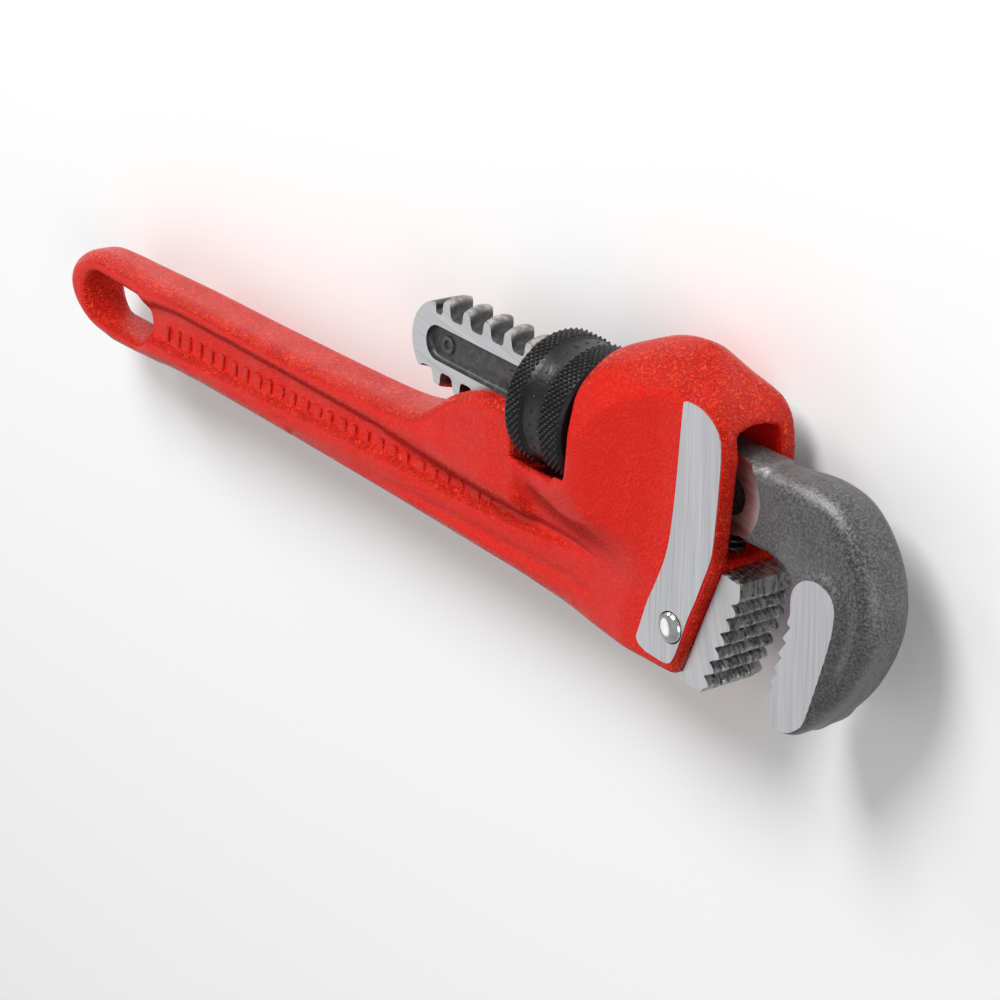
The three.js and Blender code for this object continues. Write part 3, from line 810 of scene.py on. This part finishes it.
HOOK_FLAT = outline(
    [(38.2, -14), (38.95, -9.6)],
    [(38.95, -9.6), (39.0, -7.6), (39.3, -6.1), (40.0, -5.0), (41.1, -4.2), (42.5, -3.95), (43.9, -4.2),
     (45.0, -5.0), (45.5, -6.3), (45.5, -8.6), (45.1, -11.4), (44.2, -15.9), (43.6, -18.7), (43.1, -21.6),
     (41.9, -22.9), (40.2, -23.4), (38.3, -23.2)],
    [(38.3, -23.2), (36.9, -22)],
    [(36.9, -22), (38.2, -14)],
)


def from_crest(pitch, x, turn):
    """Distance along X to the middle of the nearest crest, at a turn about the axis."""
    along = x - PHASE - STARTS * pitch * turn / (2 * math.pi)
    return np.abs((along + pitch / 2) % pitch - pitch / 2)


def shank_field(sizes, x, y, z):
    """The shank before its sides are ground: a round thread, and a plain arm ahead of it."""
    radius = np.hypot(y, z)
    crest = sizes.crest / MM - 1.8 * ease((x - 9.5) / 3)
    flank = from_crest(sizes.pitch / MM, x, np.arctan2(z, y)) - 0.58 - 0.2 * (crest - radius)
    thread = either(radius - sizes.root / MM, both(radius - crest, 0.95 * flank, 0.3), 0.45)
    plain = both(radius - 5.85, x + 28.6 + 2.6 * ease(0.5 - y / 3), 0.3)
    end = distance_to(stadium(-33.1, 30, -0.15, 5.5), x, y)
    thread = both(either(thread, plain, 0.35), np.where(x < -27.5, end, -9.0) + 0 * z, 0.7)
    thread = both(thread, x - 12.8, 0.3)
    arm = both(both(ARM_LOW - y, y - ARM_HIGH), both(11.0 - x, x - 31.0))
    arm = both(arm + 0 * z, np.abs(z) - 3.0, 0.3 + 1.5 * ease((x - 20) / 6))
    return either(thread, arm, 0.5)


def head_field(sizes, x, y, z):
    """The hook's forging: level at its sides, heavily rounded outside, thin at the throat."""
    to_outer = distance_along(smooth_run(HEAD_OUTER), x, y)
    to_inner = distance_along(np.vstack([[(36.75, -22.4)], smooth_run(HEAD_INNER)]), x, y)
    share = to_inner / (to_inner + to_outer + 1e-9)
    beside = distance_to(HOOK_FLAT, x, y)
    side = sizes.head_half / MM
    boss = sizes.face_half / MM - side
    half = soft_profile(x, [(26, 2.9), (32.6, 3.0), (35, side - 0.3), (37.5, side), (52, side)])
    half = half + boss * ease(1 - beside / 1.8) + GRINDING * np.clip(-beside / GRINDING, 0, 1)
    rounding = np.minimum(0.35 + 2.0 * ease(share * 1.25), 1.4 + 1.3 * np.maximum(beside, 0))
    ridge = 0.18 * np.exp(-((z / 0.45) ** 2)) * ease((share - 0.5) * 3)
    return both(distance_to(HEAD, x, y), np.abs(z) - half, rounding) - ridge


def hook_field(sizes, x, y, z):
    """The whole forging, with the long recess taken out of each side."""
    body = either(shank_field(sizes, x, y, z), head_field(sizes, x, y, z), 1.0)
    depth = np.abs(z)
    half = sizes.shank_half / MM
    recess = distance_to(stadium(-30.2, 28.6, RECESS_MIDDLE, 2.3), x, y) + 0.25 * (half - depth)
    return without(body, both(recess, half - sizes.recess / MM - depth, 0.35))


def side_mill(z_low, z_high):
    """The cut that leaves the shank flat, with a round end in the head."""
    front = arc((26.0, 0.1), 5.6, -88, 88, 28)
    points = np.vstack([[(-40, -9), (14, -9), (14, -5.5)], front, [(14, 5.7), (14, 9), (-40, 9)]])
    return prism("mill", points, z_low, z_high, finish_named("shank_ground"))


def tooth_gap(teeth):
    """What is cut from the hook's working face to leave its teeth."""
    first, last = np.array((38.95, -10.1)), np.array((36.85, -21.98))
    points = []
    for i in range(teeth + 1):
        tip = first + (last - first) * i / teeth
        points.append(tip)
        if i < teeth:
            points.append(tip + (0.62, -0.35))
    points += [np.array((33.0, -22.6)), np.array((33.0, -10.4))]
    return prism("gap", np.array(points), -CLEAR, CLEAR, finish_named("milled_steel"))


def build_hook(sizes):
    """The hook jaw: a forging, then its ground sides, its ground face and its teeth."""
    points, faces = solid_from(functools.partial(hook_field, sizes), (-34, -24.6, -6.6), (51.6, 6.8, 6.6),
                               sizes.detail / MM)
    piece = new_piece("hook_jaw_forging", points, faces, finish_named("blasted_steel"))
    tools = []
    for side in (-1, 1):
        low, high = sorted((side * sizes.shank_half / MM, side * CLEAR))
        tools.append(side_mill(low, high))
        low, high = sorted((side * sizes.face_half / MM, side * CLEAR))
        tools.append(prism("mill", HEAD_AREA, low, high, finish_named("cheek_ground")))
    combine(piece, joined("mills", tools), "DIFFERENCE")
    combine(piece, tooth_gap(sizes.teeth), "DIFFERENCE")
    shade(piece, 40)
    return piece


def build_shank_marks(sizes):
    """A raised ring and a small tab on the floor of each recess, in place of the size numeral."""
    floor = sizes.shank_half / MM - sizes.recess / MM
    parts = []
    for side in (-1, 1):
        ring = [(side * (floor + z), r) for z, r in ((-0.15, 0.55), (0.22, 0.62), (0.30, 0.8), (0.30, 1.0),
                                                     (0.22, 1.18), (-0.15, 1.25))]
        parts.append(ring_piece("mark", ring, (-26.6, RECESS_MIDDLE), 40))
        low, high = sorted((side * (floor - 0.15), side * (floor + 0.25)))
        for offset in (0.55, 1.65):
            bar = np.array([(-14.6, -0.22), (-12.2, -0.22), (-12.2, 0.22), (-14.6, 0.22)]) + (0, offset)
            parts.append(prism("mark", bar, low, high, finish_named("recess_steel")))
    piece = joined("hook_jaw_marks", parts)
    outward(piece)
    shade(piece, 40)
    return piece


def ring_piece(name, profile, centre, count):
    """A closed ring about a line along Z, from (height, radius) points."""
    angles = np.arange(count) * 2 * math.pi / count
    rings = [np.column_stack([centre[0] + r * np.cos(angles), centre[1] + r * np.sin(angles),
                              np.full(count, z)]) for z, r in profile]
    return new_piece(name, np.vstack(rings), ring_wall(rings, count), finish_named("recess_steel"))


# ---- nut -----------------------------------------------------------------------------------------

BANDS = ((NUT_REAR, -3.75), (-1.0, NUT_FRONT))
GROOVE_RADIUS = 8.0
GROOVE_MIDDLE = -2.4


def ring_wall(rings, count):
    """Faces between rings of points, the last joined to the first."""
    faces = []
    for i in range(len(rings)):
        a, b = i * count, (i + 1) % len(rings) * count
        faces += [(a + j, a + (j + 1) % count, b + (j + 1) % count, b + j) for j in range(count)]
    return faces


def build_nut_body(sizes, thread):
    """The nut's body: plain outside, with the shank's thread cut through it."""
    count = 144
    base = (sizes.radius - sizes.knurl) / MM
    pitch = thread.pitch / MM
    (r0, r1), (f0, f1) = BANDS
    outside = [(r0, 5.2), (r0, base - 0.35), (r0 + 0.35, base), (r1 - 0.25, base), (r1, GROOVE_RADIUS + 0.05),
               (r1 + 0.2, GROOVE_RADIUS), (f0 - 0.2, GROOVE_RADIUS), (f0, GROOVE_RADIUS + 0.05),
               (f0 + 0.25, base), (f1 - 0.35, base), (f1, base - 0.35), (f1, 6.9), (f1 - 0.25, 6.7),
               (f1 - 0.25, 6.5)]
    turns = np.arange(count) * 2 * math.pi / count
    rings = [np.column_stack([np.full(count, x), r * np.cos(turns), r * np.sin(turns)]) for x, r in outside]
    valley, tip = thread.crest / MM + 0.25, thread.root / MM + 0.3
    for x in np.arange(f1 - 0.25, r0 - 1e-6, -0.15):
        radius = np.interp(from_crest(pitch, x, turns), [0.85, 1.25], [valley, tip])
        rings.append(np.column_stack([np.full(count, x), radius * np.cos(turns), radius * np.sin(turns)]))
    piece = new_piece("adjusting_nut_body", np.vstack(rings), ring_wall(rings, count),
                      finish_named("oxide_black"))
    outward(piece)
    shade(piece, 35)
    return piece


def outward(piece):
    """Turns a closed mesh's faces outwards."""
    mesh = bmesh.new()
    mesh.from_mesh(piece.data)
    bmesh.ops.recalc_face_normals(mesh, faces=mesh.faces)
    mesh.to_mesh(piece.data)
    mesh.free()


class Tree:
    """A geometry node tree with named inputs."""

    KINDS = {"int": "NodeSocketInt", "length": "NodeSocketFloat", "finish": "NodeSocketMaterial"}

    def __init__(self, name, **sockets):
        self.tree = bpy.data.node_groups.new(name, "GeometryNodeTree")
        self.tree.interface.new_socket("Geometry", in_out="OUTPUT", socket_type="NodeSocketGeometry")
        self.tree.interface.new_socket("Geometry", in_out="INPUT", socket_type="NodeSocketGeometry")
        for label, kind in sockets.items():
            self.tree.interface.new_socket(label, in_out="INPUT", socket_type=self.KINDS[kind])
        self.given = self.tree.nodes.new("NodeGroupInput")
        self.result = self.tree.nodes.new("NodeGroupOutput")

    def __getitem__(self, label):
        return Count(self, self.given.outputs[label])

    def node(self, kind, settings=None, inputs=None, output=0):
        made = self.tree.nodes.new(kind)
        for key, value in (settings or {}).items():
            setattr(made, key, value)
        for key, value in (inputs or {}).items():
            if isinstance(value, Count):
                self.tree.links.new(value.socket, made.inputs[key])
            else:
                made.inputs[key].default_value = value
        return Count(self, made.outputs[output])

    def vector(self, x, y, z):
        return self.node("ShaderNodeCombineXYZ", {}, {0: x, 1: y, 2: z})

    def end(self, geometry, finish):
        """Makes the copies real, gives them their finish and closes the tree."""
        real = self.node("GeometryNodeRealizeInstances", {}, {0: geometry})
        dressed = self.node("GeometryNodeSetMaterial", {}, {"Geometry": real, "Material": finish})
        self.tree.links.new(dressed.socket, self.result.inputs[0])


class Count:
    """A geometry node socket that can be used in sums."""

    def __init__(self, tree, socket):
        self.tree = tree
        self.socket = socket

    def math(self, operation, other=0.0):
        return self.tree.node("ShaderNodeMath", {"operation": operation}, {0: self, 1: other})

    def __add__(self, other):
        return self.math("ADD", other)

    def __sub__(self, other):
        return self.math("SUBTRACT", other)

    def __mul__(self, other):
        return self.math("MULTIPLY", other)

    def __truediv__(self, other):
        return self.math("DIVIDE", other)


def grown(name, tree, values):
    """A plain mesh from a tree, with its named inputs set before it is first evaluated."""
    piece = bpy.data.objects.new(name, bpy.data.meshes.new(name))
    modifier = piece.modifiers.new("grow", "NODES")
    modifier.node_group = tree.tree
    for item in tree.tree.interface.items_tree:
        if item.in_out == "INPUT" and item.name in values:
            modifier[item.identifier] = values[item.name]
    bpy.context.scene.collection.objects.link(piece)
    replace_mesh(piece)
    piece.data.transform(Matrix.Translation(ORIGIN) @ Matrix.Scale(MM, 4))
    return piece


def knurl_tree():
    """Rows of small four-sided points round a band, each row half a step on from the last."""
    tree = Tree("knurl", Around="int", Rows="int", Radius="length", Start="length", Step="length",
                Height="length", Finish="finish")
    count = tree["Around"] * tree["Rows"]
    line = tree.node("GeometryNodeMeshLine", {}, {"Count": count})
    index = tree.node("GeometryNodeInputIndex")
    row = (index / tree["Around"]).math("FLOOR")
    half = row.math("MODULO", 2.0) * 0.5
    angle = (index - row * tree["Around"] + half) / tree["Around"] * (2 * math.pi)
    place = tree.vector(tree["Start"] + row * tree["Step"], angle.math("COSINE") * tree["Radius"],
                        angle.math("SINE") * tree["Radius"])
    points = tree.node("GeometryNodeSetPosition", {}, {"Geometry": line, "Position": place})
    point = tree.node("GeometryNodeMeshCone", {"fill_type": "NGON"},
                      {"Vertices": 4, "Radius Top": 0.14, "Radius Bottom": 0.9, "Depth": tree["Height"]})
    wide = tree["Radius"] * math.pi / tree["Around"]
    copies = tree.node("GeometryNodeInstanceOnPoints", {},
                       {"Points": points, "Instance": point,
                        "Rotation": tree.vector(angle - math.pi / 2, 0.0, 0.0),
                        "Scale": tree.vector(tree["Step"], wide, 1.0)})
    tree.end(copies, tree["Finish"])
    return tree


def build_knurl(sizes):
    """The diamond knurl on the nut's two bands."""
    tree = knurl_tree()
    step = sizes.row / MM
    parts = []
    for start, end in BANDS:
        rows = int((end - start - 0.5) / step)
        first = (start + end) / 2 - step * (rows - 1) / 2
        parts.append(grown("knurl", tree, {
            "Around": sizes.around, "Rows": rows, "Radius": (sizes.radius - sizes.knurl) / MM, "Start": first,
            "Step": step, "Height": sizes.knurl / MM, "Finish": finish_named("oxide_black")}))
    return joined("adjusting_nut_knurl", parts)


def joined(name, parts):
    """Several objects as one."""
    with bpy.context.temp_override(active_object=parts[0], selected_editable_objects=parts):
        bpy.ops.object.join()
    parts[0].name = name
    parts[0].data.name = name
    return parts[0]


def build_nut_dots(sizes):
    """Small dots stamped round the nut's plain groove."""
    tree = Tree("dots", Around="int", Radius="length", Place="length", Size="length", Finish="finish")
    line = tree.node("GeometryNodeMeshLine", {}, {"Count": tree["Around"]})
    index = tree.node("GeometryNodeInputIndex")
    angle = index / tree["Around"] * (2 * math.pi)
    place = tree.vector(tree["Place"], angle.math("COSINE") * tree["Radius"],
                        angle.math("SINE") * tree["Radius"])
    points = tree.node("GeometryNodeSetPosition", {}, {"Geometry": line, "Position": place})
    dot = tree.node("GeometryNodeMeshUVSphere", {}, {"Segments": 10, "Rings": 6, "Radius": tree["Size"]})
    copies = tree.node("GeometryNodeInstanceOnPoints", {},
                       {"Points": points, "Instance": dot,
                        "Rotation": tree.vector(angle - math.pi / 2, 0.0, 0.0), "Scale": (1.0, 1.0, 0.45)})
    tree.end(copies, tree["Finish"])
    return grown("adjusting_nut_dots", tree, {
        "Around": sizes.dots, "Radius": GROOVE_RADIUS, "Place": GROOVE_MIDDLE, "Size": sizes.dot / MM,
        "Finish": finish_named("oxide_black")})


# ---- heel jaw, pin and springs -------------------------------------------------------------------


HEEL_TOOTH = np.array([(0, 0), (0.34, -0.3), (0.66, -0.62), (0.80, -0.95), (0.66, -1.25), (0.2, -1.52)])
HEEL_MIDDLE = np.array((27.8, -16.0))
SLICES = 41


def heel_profile(teeth):
    """The heel jaw's side outline: a plain lip, rounded teeth and the slanted back."""
    first, last = np.array((30.35, -11.5)), np.array((27.3, -21.85))
    valleys = [first + (last - first) * i / (teeth - 1) for i in range(teeth)]
    run = [(31.5, -10.5), (31.2, -11.0)]
    for valley in valleys:
        run += [tuple(valley + step) for step in HEEL_TOOTH]
    run += [(27.15, -23.75)]
    lip = [(28.28, -8.45), (31.3, -8.65), (31.45, -9.7)]
    return np.vstack([lip, smooth_run(run, 4), [(27.0, -24.05), (23.38, -24.05)]])


def milled_slices(profile, half, roughness):
    """The outline at many places across the jaw, moved in and out a little where it is milled."""
    count = len(profile)
    ahead = np.roll(profile, -1, axis=0) - np.roll(profile, 1, axis=0)
    normal = np.column_stack([ahead[:, 1], -ahead[:, 0]])
    normal /= np.linalg.norm(normal, axis=1)[:, None]
    at = np.arange(count)
    milled = (at > 2) & (at < count - 2)
    rough = np.random.default_rng(7).normal(0, 1, (SLICES, count))
    rough = sum(np.roll(rough, k, axis=1) for k in range(-2, 3)) / 5 ** 0.5
    rings = []
    for row, z in zip(rough, np.linspace(-half, half, SLICES)):
        share = min(1.0, (half - abs(z)) / 0.5)
        flat = profile + normal * (roughness * share * row * milled)[:, None]
        chamfer = 0.015 if share == 0 else 0.0
        rings.append(np.column_stack([flat + (HEEL_MIDDLE - flat) * chamfer, np.full(count, z)]))
    return rings


def build_heel(sizes):
    """The heel jaw: a block with rough teeth, and a tang that the pin goes through."""
    rings = milled_slices(heel_profile(sizes.teeth), sizes.half / MM, sizes.roughness / MM)
    count = len(rings[0])
    faces = ring_wall(rings, count)[:-count]
    last = (SLICES - 1) * count
    faces += [tuple(range(count))[::-1], tuple(range(last, last + count))]
    piece = new_piece("heel_jaw_block", np.vstack(rings), faces, finish_named("flank_ground"))
    piece.data.materials.append(finish_named("milled_steel"))
    for face in piece.data.polygons:
        face.material_index = 0 if len(face.vertices) > 4 else 1
    outward(piece)
    tang = np.array([(18.4, -12.2), (28.0, -12.2), (26.0, -21.2), (18.4, -21.2)])
    combine(piece, prism("tang", tang, -2.4, 2.4, finish_named("flank_ground")), "UNION")
    hole = circle(PIN_PLACE, sizes.pin_radius / MM + 0.05)
    combine(piece, prism("hole", hole, -CLEAR, CLEAR, finish_named("flank_ground")), "DIFFERENCE")
    shade(piece, 30)
    return piece


def turned_piece(name, profile, centre, count, material):
    """A body of revolution about a line along Z, from (height, radius) points that start and end on it."""
    turns = np.arange(count) * 2 * math.pi / count
    points = [(0, 0, profile[0][0])]
    for height, radius in profile[1:-1]:
        points += [(radius * math.cos(turn), radius * math.sin(turn), height) for turn in turns]
    points.append((0, 0, profile[-1][0]))
    faces = [(0, 1 + (j + 1) % count, 1 + j) for j in range(count)]
    for i in range(len(profile) - 3):
        a, b = 1 + i * count, 1 + (i + 1) * count
        faces += [(a + j, a + (j + 1) % count, b + (j + 1) % count, b + j) for j in range(count)]
    end = len(points) - 1
    faces += [(end - count + j, end - count + (j + 1) % count, end) for j in range(count)]
    return new_piece(name, np.array(points) + (*centre, 0), faces, material)


def build_pin(sizes, cheek_half):
    """The heel jaw's pin, with its two polished domes."""
    start = cheek_half / MM - 0.05
    dome = [(start + sizes.pin_dome / MM * math.cos(t), sizes.pin_radius / MM * math.sin(t))
            for t in np.linspace(0, math.pi / 2, 12)]
    profile = [(-z, r) for z, r in dome] + dome[::-1]
    piece = turned_piece("heel_jaw_pin_body", profile, PIN_PLACE, 48, finish_named("polished_steel"))
    outward(piece)
    shade(piece, 50)
    return piece


COIL_FOOT = (25.0, -9.0)


def build_coil(sizes):
    """The small coil spring that lifts the shank."""
    tree = Tree("coil", Turns="length", Radius="length", Rise="length", Wire="length", Finish="finish")
    spiral = tree.node("GeometryNodeCurveSpiral", {},
                       {"Resolution": 28, "Rotations": tree["Turns"], "Start Radius": tree["Radius"],
                        "End Radius": tree["Radius"], "Height": tree["Rise"]})
    section = tree.node("GeometryNodeCurvePrimitiveCircle", {}, {"Resolution": 12, "Radius": tree["Wire"]})
    wire = tree.node("GeometryNodeCurveToMesh", {},
                     {"Curve": spiral, "Profile Curve": section, "Fill Caps": True})
    upright = tree.node("GeometryNodeTransform", {}, {"Geometry": wire, "Rotation": (-math.pi / 2, 0, 0),
                                                      "Translation": (*COIL_FOOT, 0.0)})
    tree.end(upright, tree["Finish"])
    piece = grown("coil_spring_wire", tree, {"Turns": sizes.turns, "Radius": sizes.radius / MM,
                                             "Rise": sizes.rise / MM, "Wire": sizes.wire / MM,
                                             "Finish": finish_named("tempered_steel")})
    outward(piece)
    shade(piece, 50)
    return piece


# ---- stage ---------------------------------------------------------------------------------------


def build_floor(half):
    """A plain pale floor under the wrench."""
    mesh = bpy.data.meshes.new("floor")
    mesh.from_pydata([(-half, -half, 0), (half, -half, 0), (half, half, 0), (-half, half, 0)], [],
                     [(0, 1, 2, 3)])
    pale = Shader("pale_floor", Roughness=0.9)
    haze = pale.mix(pale.noise(pale.place, 3), tone((0.93, 0.93, 0.93)), tone((0.95, 0.95, 0.95)))
    mesh.materials.append(pale.connect(Base_Color=haze))
    floor = bpy.data.objects.new("floor", mesh)
    bpy.context.scene.collection.objects.link(floor)


def build_light(name, offset, width, watts):
    """A round area light that looks at the housing from an offset in metres."""
    light = bpy.data.lights.new(name, "AREA")
    light.shape = "DISK"
    light.size = width
    light.energy = watts
    lamp = bpy.data.objects.new(name, light)
    lamp.location = ORIGIN + Vector(offset)
    lamp.rotation_euler = Vector(offset).to_track_quat("Z", "Y").to_euler()
    bpy.context.scene.collection.objects.link(lamp)


def build_camera(lens):
    """The camera, above the jaws and looking back along the handle."""
    camera_data = bpy.data.cameras.new("camera")
    camera_data.lens = lens
    camera_data.sensor_width = 36
    camera_data.clip_start = 0.01
    camera = bpy.data.objects.new("camera", camera_data)
    right = Vector((0.62036, 0.07375, -0.78084))
    down = Vector((0.35269, -0.91546, 0.19374))
    turn = Matrix((right, -down, down.cross(right))).transposed()
    camera.matrix_world = Matrix.Translation(ORIGIN + Vector((226.68, 119.55, 205.74)) * MM) @ turn.to_4x4()
    bpy.context.scene.collection.objects.link(camera)
    bpy.context.scene.camera = camera


def build_stage(sizes):
    """A pale floor, soft studio light and the camera."""
    scene = bpy.context.scene
    build_floor(sizes.floor_half)
    world = bpy.data.worlds.new("studio")
    world.use_nodes = True
    world.node_tree.nodes["Background"].inputs["Color"].default_value = (1, 1, 1, 1)
    world.node_tree.nodes["Background"].inputs["Strength"].default_value = sizes.world
    scene.world = world
    scene.view_settings.view_transform = "Standard"
    build_light("key", (-0.13, 0.59, 0.45), 0.35, sizes.key)
    build_light("rear", (-0.66, 0.52, 0.30), 0.25, sizes.rear)
    build_light("softbox", (-0.64, -0.33, 0.57), 0.80, sizes.softbox)
    build_light("side", (0.73, 0.04, 0.35), 0.50, sizes.side)
    build_camera(sizes.lens)


# ---- add-on --------------------------------------------------------------------------------------


class WRENCH_OT_stage(bpy.types.Operator):
    """Lay the floor and set up the lights and the camera"""

    bl_idname = "wrench.stage"
    bl_label = "Stage"

    def execute(self, context):
        build_stage(context.scene.wrench_stage)
        return {"FINISHED"}


class WRENCH_OT_casting(bpy.types.Operator):
    """Cast the handle with its housing"""

    bl_idname = "wrench.casting"
    bl_label = "Handle casting"

    def execute(self, context):
        piece = build_casting(context.scene.wrench_casting, context.scene.wrench_heel.pin_radius / MM)
        settle(piece, "handle", "red_paint", "handle")
        return {"FINISHED"}


class WRENCH_OT_cast_marks(bpy.types.Operator):
    """Raise the plain marks in the handle's channel"""

    bl_idname = "wrench.cast_marks"
    bl_label = "Cast marks"

    def execute(self, context):
        piece = build_marks(context.scene.wrench_marks, context.scene.wrench_casting)
        settle(piece, "handle", "red_paint")
        return {"FINISHED"}


class WRENCH_OT_hook_jaw(bpy.types.Operator):
    """Forge and grind the hook jaw with its threaded shank"""

    bl_idname = "wrench.hook_jaw"
    bl_label = "Hook jaw"

    def execute(self, context):
        sizes = context.scene.wrench_hook
        settle(build_hook(sizes), "hook", "forged_steel", "hook_jaw")
        settle(build_shank_marks(sizes), "hook", "forged_steel")
        return {"FINISHED"}


class WRENCH_OT_adjusting_nut(bpy.types.Operator):
    """Turn, knurl and stamp the adjusting nut"""

    bl_idname = "wrench.adjusting_nut"
    bl_label = "Adjusting nut"

    def execute(self, context):
        sizes = context.scene.wrench_nut
        settle(build_nut_body(sizes, context.scene.wrench_hook), "nut", "black_oxide", "adjusting_nut")
        settle(build_knurl(sizes), "nut", "black_oxide")
        settle(build_nut_dots(sizes), "nut", "black_oxide")
        return {"FINISHED"}


class WRENCH_OT_heel_jaw(bpy.types.Operator):
    """Mill the heel jaw and set its pin"""

    bl_idname = "wrench.heel_jaw"
    bl_label = "Heel jaw and pin"

    def execute(self, context):
        sizes = context.scene.wrench_heel
        settle(build_heel(sizes), "handle", "ground_steel", "heel_jaw")
        pin = build_pin(sizes, context.scene.wrench_casting.cheek_half)
        settle(pin, "handle", "bright_steel", "heel_jaw_pin")
        return {"FINISHED"}


class WRENCH_OT_springs(bpy.types.Operator):
    """Wind the coil spring and finish the flat one"""

    bl_idname = "wrench.springs"
    bl_label = "Springs"

    def execute(self, context):
        coil = build_coil(context.scene.wrench_springs)
        settle(coil, "handle", "spring_steel", "coil_spring")
        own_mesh(coil)
        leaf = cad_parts["flat_spring"]
        leaf.data.materials.clear()
        leaf.data.materials.append(finish_named("tempered_steel"))
        return {"FINISHED"}


OPERATORS = (WRENCH_OT_stage, WRENCH_OT_casting, WRENCH_OT_cast_marks, WRENCH_OT_hook_jaw,
             WRENCH_OT_adjusting_nut, WRENCH_OT_heel_jaw, WRENCH_OT_springs)


class WRENCH_PT_build(bpy.types.Panel):
    """Lists the wrench's pieces with their sizes and colours"""

    bl_idname = "WRENCH_PT_build"
    bl_label = "Pipe wrench"
    bl_space_type = "VIEW_3D"
    bl_region_type = "UI"
    bl_category = "Wrench"

    def draw(self, context):
        for operator in OPERATORS:
            self.layout.operator(operator.bl_idname)
        for name in SETTINGS:
            settings = getattr(context.scene, name)
            box = self.layout.box()
            box.label(text=name.replace("wrench_", "").capitalize())
            for key in settings.__annotations__:
                box.prop(settings, key)


SETTINGS = {
    "wrench_finishes": WrenchFinishes,
    "wrench_casting": WrenchCasting,
    "wrench_marks": WrenchMarks,
    "wrench_hook": WrenchHook,
    "wrench_nut": WrenchNut,
    "wrench_heel": WrenchHeel,
    "wrench_springs": WrenchSprings,
    "wrench_stage": WrenchStage,
}


def register():
    for name, group in SETTINGS.items():
        bpy.utils.register_class(group)
        setattr(bpy.types.Scene, name, bpy.props.PointerProperty(type=group))
    for cls in (*OPERATORS, WRENCH_PT_build):
        bpy.utils.register_class(cls)


def unregister():
    for cls in (WRENCH_PT_build, *reversed(OPERATORS)):
        bpy.utils.unregister_class(cls)
    for name, group in reversed(SETTINGS.items()):
        delattr(bpy.types.Scene, name)
        bpy.utils.unregister_class(group)


def main():
    register()
    bpy.ops.wrench.stage()
    bpy.ops.wrench.casting()
    bpy.ops.wrench.cast_marks()
    bpy.ops.wrench.hook_jaw()
    bpy.ops.wrench.adjusting_nut()
    bpy.ops.wrench.heel_jaw()
    bpy.ops.wrench.springs()


if __name__ == "__main__":
    main()
